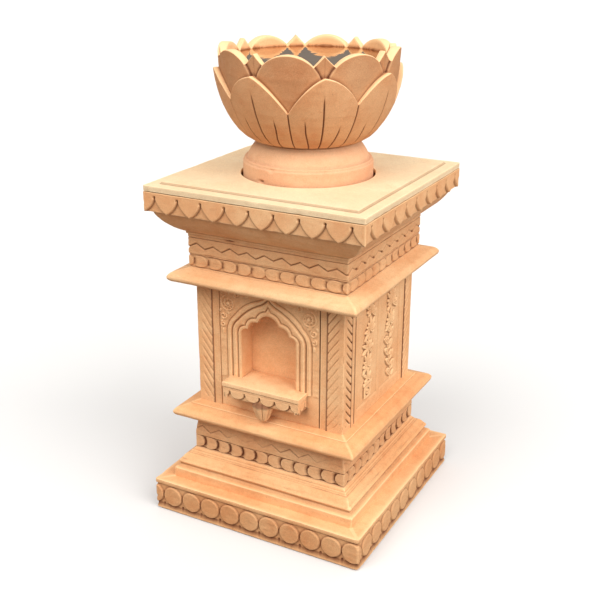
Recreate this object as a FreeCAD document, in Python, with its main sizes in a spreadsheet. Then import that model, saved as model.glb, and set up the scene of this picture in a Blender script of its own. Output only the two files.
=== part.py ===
import FreeCAD, Part
import math
import os
import Sketcher

# Carved sandstone tulsi planter: a square stone pedestal built up in courses, a shaft of four
# corner posts and four panels with an arched lamp niche, and a lotus bowl on a round foot.
# Origin: centre of the base on the ground. +Z is up and the niche faces -Y.

Vector = FreeCAD.Vector
doc = FreeCAD.newDocument("TulsiPlanter")
sheet = doc.addObject("Spreadsheet::Sheet", "Sizes")


# Sizes in millimetres, angles in degrees
SIZES = {
    # plinth
    "plinth_width": 450.0,
    "plinth_height": 66.6,
    "plinth_lower_fillet": 9.0,
    "plinth_upper_fillet": 8.5,
    "plinth_edge_break": 2.0,
    "plinth_band_recess": 3.5,
    "disc_radius": 21.4,
    "disc_pitch": 44.2,
    "disc_corner_show": 17.7,
    # moulding on the plinth
    "base_width": 394.0,
    "base_height": 58.2,
    "base_fillet_height": 19.9,
    "base_fillet_weather": 1.8,
    "base_cove_inset": 6.0,
    "base_ovolo_inset": 11.0,
    "base_ovolo_foot_rise": 33.0,
    "base_ledge_inset": 24.5,
    "base_ledge_rise": 50.7,
    "base_ledge_step": 1.3,
    # friezes
    "frieze_width": 328.8,
    "lower_frieze_height": 77.2,
    "lower_frieze_band": 37.0,
    "lower_frieze_neck_width": 315.0,
    "upper_frieze_height": 67.5,
    # cornices
    "cornice_width": 391.0,
    "cornice_nose_under": 8.0,
    "cornice_nose_height": 9.5,
    "cornice_nose_return": 12.0,
    "lower_cornice_height": 28.5,
    "lower_cornice_shoulder": 19.0,
    "cornice_step_inset": 26.0,
    "cornice_step_rise": 23.2,
    "cornice_step": 1.3,
    "upper_cornice_height": 24.0,
    "upper_cornice_shoulder": 19.0,
    # shaft
    "shaft_width": 311.0,
    "shaft_height": 251.5,
    "post_width": 35.0,
    "strip_width": 14.0,
    "strip_recess": 1.5,
    "panel_thickness": 38.0,
    "panel_field_recess": 2.5,
    # niche
    "niche_half_width": 58.0,
    "niche_spring_rise": 160.5,
    "niche_outer_cusp_in": 14.0,
    "niche_outer_cusp_rise": 11.0,
    "niche_inner_cusp_in": 35.0,
    "niche_inner_cusp_rise": 27.0,
    "niche_apex_rise": 44.0,
    "niche_band": 9.0,
    "frame_half_width": 91.0,
    "frame_shoulder_rise": 14.0,
    "frame_peak_rise": 74.0,
    "niche_back_thickness": 22.0,
    "niche_back_margin": 18.0,
    # side panels
    "field_margin": 9.0,
    "field_foot_margin": 24.0,
    "field_rib_width": 9.0,
    # shelf
    "shelf_half_width": 82.0,
    "shelf_projection": 34.5,
    "shelf_thickness": 9.5,
    "shelf_top_rise": 69.0,
    "shelf_joint": 0.3,
    "bracket_inset": 1.5,
    "scallop_cusp_drop": 5.0,
    "scallop_drop": 18.5,
    "scallop_corner_drop": 21.5,
    "scallop_plate": 6.0,
    "pendant_radius": 20.5,
    "pendant_neck_radius": 17.0,
    "pendant_tip_radius": 6.0,
    "pendant_middle_radius": 15.5,
    "pendant_middle_rise": 16.0,
    "pendant_wall_gap": 0.5,
    "pendant_tip_clearance": 2.0,
    # head mouldings and slabs
    "soffit_fillet_height": 4.0,
    "soffit_fillet_out": 2.5,
    "soffit_height": 47.3,
    "soffit_lip_height": 3.0,
    "soffit_width": 416.0,
    "fringe_width": 439.0,
    "fringe_height": 36.6,
    "tongue_recess": 5.0,
    "tongue_tip_half": 2.2,
    "slit_half": 1.7,
    "slit_foot_rise": 23.5,
    "slit_top_rise": 29.5,
    "slab_setback": 0.3,
    "slab_edge_height": 11.8,
    "slab_joint": 1.1,
    "slab_raised_width": 390.4,
    "slab_raised_height": 4.3,
    "slab_raised_slope": 2.4,
    "well_radius": 125.9,
    # pot foot
    "drum_radius": 121.1,
    "drum_height": 40.3,
    "drum_step_radius": 118.7,
    "drum_step_height": 5.8,
    "foot_shoulder_radius": 113.0,
    "foot_shoulder_height": 1.6,
    "foot_neck_radius": 94.5,
    "foot_neck_height": 30.2,
    "spigot_radius": 40.0,
    "spigot_height": 10.0,
    "spigot_clearance": 0.3,
    # bowl
    "bowl_height": 169.7,
    "bowl_floor": 30.0,
    "bowl_rim_radius": 164.0,
    "bowl_wall": 17.0,
    "bowl_waist_radius": 161.0,
    "bowl_waist_drop": 41.0,
    "bowl_side_radius": 148.0,
    "bowl_side_drop": 102.0,
    "bowl_inner_side_radius": 130.0,
    "bowl_inner_side_drop": 92.0,
    "bowl_floor_radius": 70.0,
    "petal_tip_radius": 171.5,
    "petal_tip_drop": 36.0,
    "petal_valley_drop": 95.0,
    "petal_side_radius": 138.6,
    "petal_side_rise": 36.7,
    "petal_belly_radius": 165.0,
    "petal_belly_rise": 96.7,
    "rim_notch_drop": 18.0,
    "petal_shoulder_drop": 11.0,
    # shared
    "dowel_radius": 6.0,
    "dowel_length": 36.0,
    "dowel_clearance": 0.4,
    "overrun": 12.0,
}

PETALS = 8
DISCS = 11
TONGUES = 9
SIDES = 4
SHELF_SCALLOPS = 5
BUD_FACETS = 8
OUTER_RUNS = 3
INNER_RUNS = 2
NOTCH_ANGLE = 7.2
TIP_ANGLE = 6.0
REST_ANGLE = -7.8
FULL_TURN = 360.0

# How far each curve bulges from its chord, as a share of the chord
BULGE_SHARES = {
    "cove": 0.12,
    "ovolo": 0.16,
    "nose_under": 0.2,
    "nose_over": 0.14,
    "cusp": 0.24,
    "crown": 0.16,
    "frame": 0.16,
    "scallop": 0.36,
    "corner_scallop": 0.14,
    "end_scallop": 0.3,
    "soffit": 0.09,
    "tongue": 0.12,
    "bowl_inside": 0.06,
    "bowl_bottom": 0.17,
    "petal_foot": 0.05,
    "petal_belly": 0.1,
    "petal_side": 0.12,
    "petal_point": 0.08,
    "round_petal": 0.12,
}


class Dim:
    """A size of the sheet, or a sum of such sizes, as a value and as the expression that gives it."""

    def __init__(self, value, text):
        self.value = float(value)
        self.text = text

    def __add__(self, other):
        return joined(self, "+", other, self.value + value_of(other))

    def __radd__(self, other):
        return joined(other, "+", self, value_of(other) + self.value)

    def __sub__(self, other):
        return joined(self, "-", other, self.value - value_of(other))

    def __rsub__(self, other):
        return joined(other, "-", self, value_of(other) - self.value)

    def __mul__(self, other):
        return joined(self, "*", other, self.value * value_of(other))

    def __rmul__(self, other):
        return joined(other, "*", self, value_of(other) * self.value)

    def __truediv__(self, other):
        return joined(self, "/", other, self.value / value_of(other))

    def __neg__(self):
        return Dim(-self.value, "(0 - " + self.text + ")")


def value_of(item):
    return item.value if isinstance(item, Dim) else float(item)


def text_of(item):
    return item.text if isinstance(item, Dim) else repr(item)


def joined(first, sign, second, value):
    return Dim(value, "(" + text_of(first) + " " + sign + " " + text_of(second) + ")")


def length_of(run, rise):
    """The length of the hypotenuse over two sizes."""
    value = math.hypot(value_of(run), value_of(rise))
    return Dim(value, "sqrt(" + text_of(run * run + rise * rise) + ")")


def fill_sheet():
    for row, (name, value) in enumerate(SIZES.items(), start=1):
        sheet.set("A" + str(row), name)
        sheet.set("B" + str(row), repr(value))
        sheet.setAlias("B" + str(row), name)
    doc.recompute()


def size(name):
    return Dim(SIZES[name], "Sizes." + name)


def bind(feature, prop, amount):
    """Keep a property bound to a size; a plain zero leaves it at its default of zero."""
    if isinstance(amount, Dim):
        feature.setExpression(prop, amount.text)


def bulge(name):
    return BULGE_SHARES[name]


# Sketch helpers
FRONT = FreeCAD.Rotation(Vector(1, 0, 0), Vector(0, 0, 1), Vector(0, -1, 0), "ZXY")
SIDE = FreeCAD.Rotation(Vector(0, 1, 0), Vector(0, 0, 1), Vector(1, 0, 0), "ZXY")


def arc_between(start, end, share):
    """An arc that bulges to the left of the way from start to end, by a share of its chord."""
    chord = end - start
    left = Vector(-chord.y, chord.x, 0)
    return Part.Arc(start, (start + end) / 2 + left * share, end)


def ends_of(sketch, edge, start):
    """The numbers of an edge's start and end, as the outline runs."""
    if (sketch.getPoint(edge, 1) - start).Length < (sketch.getPoint(edge, 2) - start).Length:
        return 1, 2
    return 2, 1


def pinned(edge, end, across, up):
    """What holds a point of the outline at its place from the origin."""
    held = []
    for kind, axis, amount in (("DistanceX", -2, across), ("DistanceY", -1, up)):
        if isinstance(amount, Dim):
            held.append((Sketcher.Constraint(kind, -1, 1, edge, end, amount.value), amount.text))
        else:
            held.append((Sketcher.Constraint("PointOnObject", edge, end, axis), ""))
    return held


def hold(sketch, held):
    """Add constraints in one go and bind those that have an expression."""
    places = sketch.addConstraint([constraint for constraint, text in held])
    for place, (constraint, text) in zip(places, held):
        if text:
            sketch.setExpression("Constraints[" + str(place) + "]", text)


def draw(sketch, corners):
    """Close an outline through the corners; a third entry makes the run that follows an arc."""
    places = [Vector(value_of(corner[0]), value_of(corner[1]), 0) for corner in corners]
    edges = []
    for index, corner in enumerate(corners):
        start = places[index]
        end = places[(index + 1) % len(corners)]
        run = arc_between(start, end, corner[2]) if len(corner) == 3 else Part.LineSegment(start, end)
        edges.append(sketch.addGeometry(run, False))
    held = []
    for index, corner in enumerate(corners):
        following = (index + 1) % len(corners)
        first, last = ends_of(sketch, edges[index], places[index])
        meets = ends_of(sketch, edges[following], places[following])[0]
        held.append((Sketcher.Constraint("Coincident", edges[index], last, edges[following], meets), ""))
        held += pinned(edges[index], first, corner[0], corner[1])
        if len(corner) == 3:
            share = abs(corner[2])
            chord = length_of(corners[following][0] - corner[0], corners[following][1] - corner[1])
            radius = chord * (1 / (8 * share) + share / 2)
            held.append((Sketcher.Constraint("Radius", edges[index], radius.value), radius.text))
    hold(sketch, held)


def turned(start, end, share, runs):
    """An arc as a few straight runs, without its last corner, which keep a turned face light."""
    half = 2 * math.atan(2 * share)
    run = end[0] - start[0]
    rise = end[1] - start[1]
    corners = [start]
    for index in range(1, runs):
        turn = half * (2 * index / runs - 1)
        along = (1 + math.sin(turn) / math.sin(half)) / 2
        out = (math.cos(turn) - math.cos(half)) / math.sin(half) / 2
        corners.append((start[0] + run * along - rise * out, start[1] + rise * along + run * out))
    return corners


def circle(sketch, across, up, radius):
    """Add a circle whose centre and radius are held by sizes."""
    centre = Vector(value_of(across), value_of(up), 0)
    ring = sketch.addGeometry(Part.Circle(centre, Vector(0, 0, 1), radius.value), False)
    held = pinned(ring, 3, across, up)
    held.append((Sketcher.Constraint("Radius", ring, radius.value), radius.text))
    hold(sketch, held)


def free_sketch(name, turn, corners):
    """A closed outline on a plane through the origin, outside any body."""
    sketch = doc.addObject("Sketcher::SketchObject", name)
    sketch.Placement = FreeCAD.Placement(Vector(), turn)
    draw(sketch, corners)
    return sketch


def mirrored(half):
    """A whole outline from its right half, which runs from the bottom to the top."""
    left = []
    for index in range(len(half) - 1, -1, -1):
        corner = (-half[index][0], half[index][1])
        if index > 0 and len(half[index - 1]) == 3:
            corner = corner + (half[index - 1][2],)
        left.append(corner)
    return list(half) + left


def extruded(name, sketch, length):
    bar = doc.addObject("Part::Extrusion", name)
    bar.Base = sketch
    bar.DirMode = "Normal"
    bar.Symmetric = True
    bar.Solid = True
    bind(bar, "LengthFwd", length)
    return bar


def square_moulding(name, half, length):
    """A moulding that runs round a square block: one profile seen from the front and the side."""
    outline = mirrored(half)
    front = extruded(name + "Front", free_sketch(name + "FrontProfile", FRONT, outline), length)
    side = extruded(name + "Side", free_sketch(name + "SideProfile", SIDE, outline), length)
    block = doc.addObject("Part::Common", name)
    block.Base = front
    block.Tool = side
    return block


def cut(name, base, tool):
    result = doc.addObject("Part::Cut", name)
    result.Base = base
    result.Tool = tool
    return result


def fuse(name, base, tool):
    result = doc.addObject("Part::Fuse", name)
    result.Base = base
    result.Tool = tool
    return result


def cylinder(name, radius, height, across, along, up):
    """A round bar that stands on a point."""
    bar = doc.addObject("Part::Cylinder", name)
    bind(bar, "Radius", radius)
    bind(bar, "Height", height)
    bind(bar, "Placement.Base.x", across)
    bind(bar, "Placement.Base.y", along)
    bind(bar, "Placement.Base.z", up)
    return bar


# PartDesign helpers
def new_body(name):
    return doc.addObject("PartDesign::Body", name)


def body_sketch(body, name, role, offset, corners):
    """A closed outline on one of the body's own origin planes, moved along the plane's normal."""
    sketch = body.newObject("Sketcher::SketchObject", name)
    plane = [item for item in body.Origin.OriginFeatures if item.Role == role][0]
    sketch.AttachmentSupport = [(plane, "")]
    sketch.MapMode = "FlatFace"
    bind(sketch, "AttachmentOffset.Base.z", offset)
    if corners:
        draw(sketch, corners)
    return sketch


def pad(body, name, sketch, length, backwards=False):
    feature = body.newObject("PartDesign::Pad", name)
    feature.Profile = sketch
    feature.Reversed = backwards
    bind(feature, "Length", length)
    return feature


def pocket(body, name, sketch, length, backwards=False):
    """A pocket that has to take material away."""
    before = body.Tip
    feature = body.newObject("PartDesign::Pocket", name)
    feature.Profile = sketch
    feature.Reversed = backwards
    bind(feature, "Length", length)
    doc.recompute()
    if feature.Shape.Volume >= before.Shape.Volume:
        raise RuntimeError(name + " cuts nothing")
    return feature


def revolved(body, name, sketch):
    feature = body.newObject("PartDesign::Revolution", name)
    feature.Profile = sketch
    feature.ReferenceAxis = (sketch, ["V_Axis"])
    feature.Angle = FULL_TURN
    return feature


def around(body, name, feature, count):
    """Repeat a feature in a ring about the vertical axis."""
    pattern = body.newObject("PartDesign::PolarPattern", name)
    pattern.Originals = [feature]
    axis = [item for item in body.Origin.OriginFeatures if item.Role == "Z_Axis"][0]
    pattern.Axis = (axis, [""])
    pattern.Angle = FULL_TURN
    pattern.Occurrences = count
    body.Tip = pattern
    return pattern


nodes = []


def node(shape, label):
    """Name a finished sub-part."""
    shape.Label = label
    nodes.append(shape)
    return shape


fill_sheet()

# Levels, from the ground up
plinth_top = size("plinth_height")
base_top = plinth_top + size("base_height")
lower_cornice_foot = base_top + size("lower_frieze_height")
shaft_foot = lower_cornice_foot + size("lower_cornice_height")
shaft_top = shaft_foot + size("shaft_height")
upper_frieze_foot = shaft_top + size("upper_cornice_height")
soffit_foot = upper_frieze_foot + size("upper_frieze_height")
fringe_foot = soffit_foot + size("soffit_height")
slab_foot = fringe_foot + size("fringe_height")
bowl_foot = (slab_foot + size("drum_height") + size("drum_step_height")
             + size("foot_shoulder_height") + size("foot_neck_height"))
bowl_rim = bowl_foot + size("bowl_height")

overrun = size("overrun")
plinth_half = size("plinth_width") / 2
frieze_half = size("frieze_width") / 2
shaft_half = size("shaft_width") / 2
panel_half = shaft_half - size("post_width") - size("strip_width")
panel_back = shaft_half - size("panel_thickness")
shelf_top = shaft_foot + size("shelf_top_rise")
shelf_foot = shelf_top - size("shelf_thickness")
niche_spring = shaft_foot + size("niche_spring_rise")


# Plinth: a square slab with a sunk band and a row of round discs in it
def make_plinth():
    core_half = plinth_half - size("plinth_band_recess")
    edge = size("plinth_edge_break")
    band_foot = size("plinth_lower_fillet")
    band_top = plinth_top - size("plinth_upper_fillet")
    core = square_moulding("PlinthCore", [
        (plinth_half - edge, 0),
        (plinth_half, edge),
        (plinth_half, band_foot),
        (core_half, band_foot),
        (core_half, band_top),
        (plinth_half, band_top),
        (plinth_half, plinth_top),
    ], size("plinth_width"))
    discs = []
    for name, turn in (("DiscsFront", FRONT), ("DiscsSide", SIDE)):
        sketch = doc.addObject("Sketcher::SketchObject", name + "Outline")
        sketch.Placement = FreeCAD.Placement(Vector(), turn)
        start = size("disc_corner_show") - size("disc_radius") - plinth_half
        level = (band_foot + band_top) / 2
        for index in range(DISCS):
            circle(sketch, start + size("disc_pitch") * index, level, size("disc_radius"))
        discs.append(extruded(name, sketch, size("plinth_width")))
    carved = fuse("PlinthWithSideDiscs", fuse("PlinthWithFrontDiscs", core, discs[0]), discs[1])
    block = doc.addObject("Part::Box", "PlinthBlock")
    for prop in ("Length", "Width"):
        bind(block, prop, size("plinth_width"))
    bind(block, "Height", plinth_top)
    bind(block, "Placement.Base.x", -plinth_half)
    bind(block, "Placement.Base.y", -plinth_half)
    slab = doc.addObject("Part::Common", "Plinth")
    slab.Base = carved
    slab.Tool = block
    node(slab, "plinth_slab")


# Moulding on the plinth: an upright fillet, a cove, an ovolo and a sloping ledge
def make_base_moulding():
    half = size("base_width") / 2
    fillet_top = plinth_top + size("base_fillet_height")
    ovolo_half = half - size("base_ovolo_inset")
    ledge_half = half - size("base_ledge_inset")
    ledge = plinth_top + size("base_ledge_rise")
    node(square_moulding("BaseMoulding", [
        (half, plinth_top),
        (half, fillet_top),
        (half - size("base_cove_inset"), fillet_top + size("base_fillet_weather"), bulge("cove")),
        (ovolo_half, plinth_top + size("base_ovolo_foot_rise"), -bulge("ovolo")),
        (ledge_half, ledge),
        (ledge_half - size("base_ledge_step"), ledge + size("base_ledge_step")),
        (frieze_half, base_top),
    ], size("base_width")), "base_moulding")


# Friezes: the square necks that carry the bands of coins and chevrons
def make_friezes():
    neck_half = size("lower_frieze_neck_width") / 2
    node(square_moulding("LowerFrieze", [
        (frieze_half, base_top),
        (frieze_half, base_top + size("lower_frieze_band")),
        (neck_half, lower_cornice_foot),
    ], size("frieze_width")), "lower_frieze")
    node(square_moulding("UpperFrieze", [
        (frieze_half, upper_frieze_foot),
        (frieze_half, soffit_foot),
    ], size("frieze_width")), "upper_frieze")


def dowel_places():
    """The middle of each corner post in plan, where a dowel holds it."""
    middle = shaft_half - size("post_width") / 2 - size("strip_width") / 2
    return [(middle * across, middle * along) for across, along in ((1, 1), (-1, 1), (-1, -1), (1, -1))]


def dowel_set(name, radius, length, foot):
    """Four upright round bars, one in each corner post, as one object."""
    bars = []
    for index, (across, along) in enumerate(dowel_places()):
        bars.append(cylinder(name + str(index), radius, length, across, along, foot))
    group = doc.addObject("Part::Compound", name)
    group.Links = bars
    return group


def cornice(name, foot, height, shoulder, step):
    """A bull-nosed slab whose top slopes up to what stands on it."""
    half = size("cornice_width") / 2
    profile = [
        (half - size("cornice_nose_under"), foot, -bulge("nose_under")),
        (half, foot + size("cornice_nose_height"), -bulge("nose_over")),
        (half - size("cornice_nose_return"), foot + shoulder),
    ]
    if step:
        step_half = half - size("cornice_step_inset")
        rise = foot + size("cornice_step_rise")
        profile += [(step_half, rise), (step_half, rise + size("cornice_step")), (shaft_half, foot + height)]
    else:
        profile += [(frieze_half, foot + height)]
    return square_moulding(name, profile, size("cornice_width"))


# Cornices below and above the shaft, bored for the dowels of the posts
def make_cornices():
    radius = size("dowel_radius") + size("dowel_clearance")
    depth = size("dowel_length") / 2
    lower = cornice("LowerCorniceSlab", lower_cornice_foot, size("lower_cornice_height"),
                    size("lower_cornice_shoulder"), True)
    lower_holes = dowel_set("LowerCorniceHole", radius, depth + overrun, shaft_foot - depth)
    node(cut("LowerCornice", lower, lower_holes), "lower_cornice")
    upper = cornice("UpperCorniceSlab", shaft_top, size("upper_cornice_height"),
                    size("upper_cornice_shoulder"), False)
    upper_holes = dowel_set("UpperCorniceHole", radius, depth + overrun, shaft_top - overrun)
    node(cut("UpperCornice", upper, upper_holes), "upper_cornice")


# Steel dowels, half in the cornice and half in the post
def make_dowels():
    radius = size("dowel_radius")
    length = size("dowel_length")
    sets = [dowel_set("FootDowel", radius, length, shaft_foot - length / 2),
            dowel_set("HeadDowel", radius, length, shaft_top - length / 2)]
    node(sets[0], "shaft_foot_dowels")
    node(sets[1], "shaft_head_dowels")


# Corner posts: a square pillar with a set-back strip on each side of it
def make_posts():
    inner = panel_half
    strip = shaft_half - size("post_width")
    face = shaft_half - size("strip_recess")
    for index, label in enumerate(("front_right", "back_right", "back_left", "front_left")):
        turn = FULL_TURN / SIDES * index
        name = label.title().replace("_", "")
        body = new_body("Post" + name)
        outline = body_sketch(body, "PostOutline" + name, "XY_Plane", shaft_foot, [
            (inner, -face),
            (strip, -face),
            (strip, -shaft_half),
            (shaft_half, -shaft_half),
            (shaft_half, -strip),
            (face, -strip),
            (face, -inner),
            (inner, -inner),
        ])
        pad(body, "PostStone" + name, outline, size("shaft_height"))
        doc.recompute()
        middle = shaft_half - size("post_width") / 2 - size("strip_width") / 2
        for end, level, upwards in (("Foot", shaft_foot, True), ("Head", shaft_top, False)):
            hole = body_sketch(body, "Post" + end + "Hole" + name, "XY_Plane", level, [])
            circle(hole, middle, -middle, size("dowel_radius") + size("dowel_clearance"))
            pocket(body, "Post" + end + "Bore" + name, hole, size("dowel_length") / 2, upwards)
        body.Placement = FreeCAD.Placement(Vector(), FreeCAD.Rotation(Vector(0, 0, 1), turn))
        node(body, "corner_post_" + label)


def panel_outline():
    """The space between two posts, from the foot to the head of the shaft."""
    return [
        (-panel_half, shaft_foot),
        (panel_half, shaft_foot),
        (panel_half, shaft_top),
        (-panel_half, shaft_top),
    ]


def arch(grow, foot):
    """The cusped arch of the niche, its left half mirrored, grown outwards by a size."""
    jamb = size("niche_half_width") + grow
    outer = size("niche_half_width") - size("niche_outer_cusp_in") + grow
    inner = size("niche_half_width") - size("niche_inner_cusp_in") + grow / 2
    whole = mirrored([
        (jamb, foot),
        (jamb, niche_spring, -bulge("cusp")),
        (outer, niche_spring + size("niche_outer_cusp_rise") + grow / 2, -bulge("cusp")),
        (inner, niche_spring + size("niche_inner_cusp_rise") + grow, -bulge("crown")),
    ])
    half = len(whole) // 2
    apex = niche_spring + size("niche_apex_rise") + grow + grow / 2
    return whole[:half] + [(0, apex, -bulge("crown"))] + whole[half:]


# Front panel: a thick slab pierced by the cusped arch, with a raised frame round it
def make_front_panel():
    body = new_body("FrontPanel")
    field = shaft_half - size("panel_field_recess")
    slab = body_sketch(body, "FrontSlabOutline", "XZ_Plane", panel_back, panel_outline())
    pad(body, "FrontSlab", slab, field - panel_back)
    frame_half = size("frame_half_width")
    shoulder = niche_spring + size("frame_shoulder_rise")
    frame = body_sketch(body, "FrameOutline", "XZ_Plane", field, [
        (-frame_half, shelf_foot),
        (frame_half, shelf_foot),
        (frame_half, shoulder, -bulge("frame")),
        (0, niche_spring + size("frame_peak_rise"), -bulge("frame")),
        (-frame_half, shoulder),
    ])
    pad(body, "FrameBand", frame, size("panel_field_recess"))
    doc.recompute()
    opening = body_sketch(body, "NicheOutline", "XZ_Plane", panel_back - overrun, arch(0, shelf_foot))
    pocket(body, "NicheOpening", opening, size("panel_thickness") + overrun * 2, True)
    sunk = body_sketch(body, "BandOutline", "XZ_Plane", field, arch(size("niche_band"), shelf_foot))
    pocket(body, "SunkBand", sunk, size("panel_field_recess"), True)
    node(body, "front_panel")


# Back of the niche: a plain slab that closes the arch from inside
def make_niche_back():
    body = new_body("NicheBack")
    half = size("niche_half_width") + size("niche_back_margin")
    top = niche_spring + size("niche_apex_rise") + size("niche_back_margin")
    outline = body_sketch(body, "NicheBackOutline", "XZ_Plane", panel_back, [
        (-half, shaft_foot), (half, shaft_foot), (half, top), (-half, top)])
    pad(body, "NicheBackSlab", outline, size("niche_back_thickness"), True)
    node(body, "niche_back")


# Side and back panels: slabs with two sunk fields and a rib between them
def make_side_panels():
    margin = size("field_margin")
    rib = size("field_rib_width") / 2
    for label, turn in (("right_panel", 90), ("back_panel", 180), ("left_panel", 270)):
        name = label.title().replace("_", "")
        body = new_body(name)
        outline = body_sketch(body, name + "Outline", "XZ_Plane", panel_back, panel_outline())
        pad(body, name + "Slab", outline, size("panel_thickness"))
        doc.recompute()
        fields = body_sketch(body, name + "Fields", "XZ_Plane", shaft_half, [])
        low = shaft_foot + size("field_foot_margin")
        high = shaft_top - margin
        for left, right in ((margin - panel_half, -rib), (rib, panel_half - margin)):
            draw(fields, [(left, low), (right, low), (right, high), (left, high)])
        pocket(body, name + "Sinking", fields, size("panel_field_recess"))
        body.Placement = FreeCAD.Placement(Vector(), FreeCAD.Rotation(Vector(0, 0, 1), turn))
        node(body, label)


# Lamp shelf: a thin slab whose tongue fills the foot of the niche
def make_shelf():
    half = size("shelf_half_width")
    tongue = size("niche_half_width") - size("shelf_joint")
    front = shaft_half + size("shelf_projection")
    body = new_body("NicheShelf")
    outline = body_sketch(body, "ShelfOutline", "XY_Plane", shelf_foot, [
        (-half, -front), (half, -front), (half, -shaft_half), (tongue, -shaft_half),
        (tongue, -panel_back), (-tongue, -panel_back), (-tongue, -shaft_half), (-half, -shaft_half)])
    pad(body, "ShelfSlab", outline, size("shelf_thickness"))
    node(body, "niche_shelf")


def scallops(start, pitch, count, top):
    """A row of scallops from left to right, with a half scallop at each end that runs to the corner."""
    cusp = top - size("scallop_cusp_drop")
    tip = top - size("scallop_corner_drop")
    corners = [(start, tip, -bulge("corner_scallop"))]
    for index in range(count - 1):
        corners.append((start + pitch / 2 + pitch * index, cusp, -bulge("scallop")))
    corners.append((start - pitch / 2 + pitch * count, cusp, -bulge("corner_scallop")))
    corners.append((start + pitch * count, tip))
    return corners


# Bracket under the shelf: a flat core with a scalloped skirt on its front and ends
def make_bracket():
    half = size("shelf_half_width") - size("bracket_inset")
    front = shaft_half + size("shelf_projection") - size("bracket_inset")
    plate = size("scallop_plate")
    body = new_body("ShelfBracket")
    core = body_sketch(body, "BracketCoreOutline", "XY_Plane", shelf_foot, [
        (-half, -front), (half, -front), (half, -shaft_half), (-half, -shaft_half)])
    pad(body, "BracketCore", core, size("scallop_drop"), True)
    pitch = half * 2 / SHELF_SCALLOPS
    top = shelf_foot - size("scallop_cusp_drop") / 2
    skirt = body_sketch(body, "FrontSkirtOutline", "XZ_Plane", front - plate,
                        scallops(-half, pitch, SHELF_SCALLOPS, shelf_foot) + [(half, top), (-half, top)])
    pad(body, "FrontSkirt", skirt, plate)
    cusp = shelf_foot - size("scallop_cusp_drop")
    tip = shelf_foot - size("scallop_corner_drop")
    low = shelf_foot - size("scallop_drop")
    side = [(-front, tip, -bulge("corner_scallop")), (pitch / 2 - front, cusp, -bulge("end_scallop")),
            (-shaft_half, low), (-shaft_half, top), (-front, top)]
    for name, offset, backwards in (("RightSkirt", half - plate, False), ("LeftSkirt", plate - half, True)):
        sketch = body_sketch(body, name + "Outline", "YZ_Plane", offset, side)
        pad(body, name, sketch, plate, backwards)
    node(body, "shelf_bracket")


# Bud under the bracket: a faceted bud that tapers to a blunt tip
def make_pendant():
    top = shelf_foot - size("scallop_drop")
    foot = shaft_foot + size("pendant_tip_clearance")
    widest = size("pendant_radius")
    block = widest + overrun / 2
    body = new_body("ShelfPendant")
    outline = body_sketch(body, "PendantBlockOutline", "XY_Plane", foot, [
        (-block, -block), (block, -block), (block, block), (-block, block)])
    pad(body, "PendantBlock", outline, top - foot)
    doc.recompute()
    side = body_sketch(body, "PendantSide", "XZ_Plane", block, [
        (size("pendant_tip_radius"), foot),
        (size("pendant_middle_radius"), foot + size("pendant_middle_rise")),
        (widest, top - size("scallop_cusp_drop")),
        (size("pendant_neck_radius"), top),
        (widest + overrun, top),
        (widest + overrun, foot),
    ])
    facet = pocket(body, "PendantFacet", side, block * 2)
    around(body, "PendantAllRound", facet, BUD_FACETS)
    body.setExpression("Placement.Base.y", (-(shaft_half + widest + size("pendant_wall_gap"))).text)
    node(body, "shelf_pendant")


# Soffit: a small fillet and a wide ovolo that carries the head out to the slabs
def make_soffit():
    fillet_half = frieze_half + size("soffit_fillet_out")
    fillet_top = soffit_foot + size("soffit_fillet_height")
    half = size("soffit_width") / 2
    node(square_moulding("Soffit", [
        (fillet_half, soffit_foot),
        (fillet_half, fillet_top, -bulge("soffit")),
        (half, fringe_foot - size("soffit_lip_height")),
        (half, fringe_foot),
    ], size("soffit_width")), "soffit_moulding")


def fringe_gap(middle, foot):
    """The sunk gap between two hanging tongues, with a narrow slit at its head."""
    half = size("fringe_width") / (2 * TONGUES) - size("tongue_tip_half")
    slit = size("slit_half")
    low = foot - overrun
    return [
        (middle - half, low),
        (middle + half, low),
        (middle + half, foot, bulge("tongue")),
        (middle + slit, foot + size("slit_foot_rise")),
        (middle + slit, foot + size("slit_top_rise")),
        (middle - slit, foot + size("slit_top_rise")),
        (middle - slit, foot + size("slit_foot_rise"), bulge("tongue")),
        (middle - half, foot),
    ]


# Petal fringe: a square slab with a row of hanging tongues carved on each face
def make_fringe():
    half = size("fringe_width") / 2
    body = new_body("PetalFringe")
    slab = body_sketch(body, "FringeOutline", "XY_Plane", fringe_foot, [
        (-half, -half), (half, -half), (half, half), (-half, half)])
    pad(body, "FringeSlab", slab, size("fringe_height"))
    doc.recompute()
    gaps = body_sketch(body, "FringeGaps", "XZ_Plane", half, [])
    for index in range(TONGUES):
        middle = size("fringe_width") * (2 * index + 1) / (2 * TONGUES) - half
        draw(gaps, fringe_gap(middle, fringe_foot))
    carving = pocket(body, "FringeCarving", gaps, size("tongue_recess"))
    around(body, "FringeAllRound", carving, SIDES)
    node(body, "petal_fringe")


# Top slab: a square slab with a raised middle and the round well for the pot
def make_top_slab():
    width = size("fringe_width") - size("slab_setback") * 2
    half = width / 2
    joint = size("slab_joint")
    edge_top = slab_foot + size("slab_edge_height")
    raised = size("slab_raised_width") / 2
    top = edge_top + size("slab_raised_height")
    slab = square_moulding("TopSlabBlock", [
        (half - joint, slab_foot),
        (half - joint, slab_foot + joint),
        (half, slab_foot + joint),
        (half, edge_top),
        (raised + size("slab_raised_slope"), edge_top),
        (raised, top),
    ], width)
    well = cylinder("Well", size("well_radius"), top - slab_foot + overrun * 2, 0, 0, slab_foot - overrun)
    node(cut("TopSlab", slab, well), "top_slab")


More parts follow.
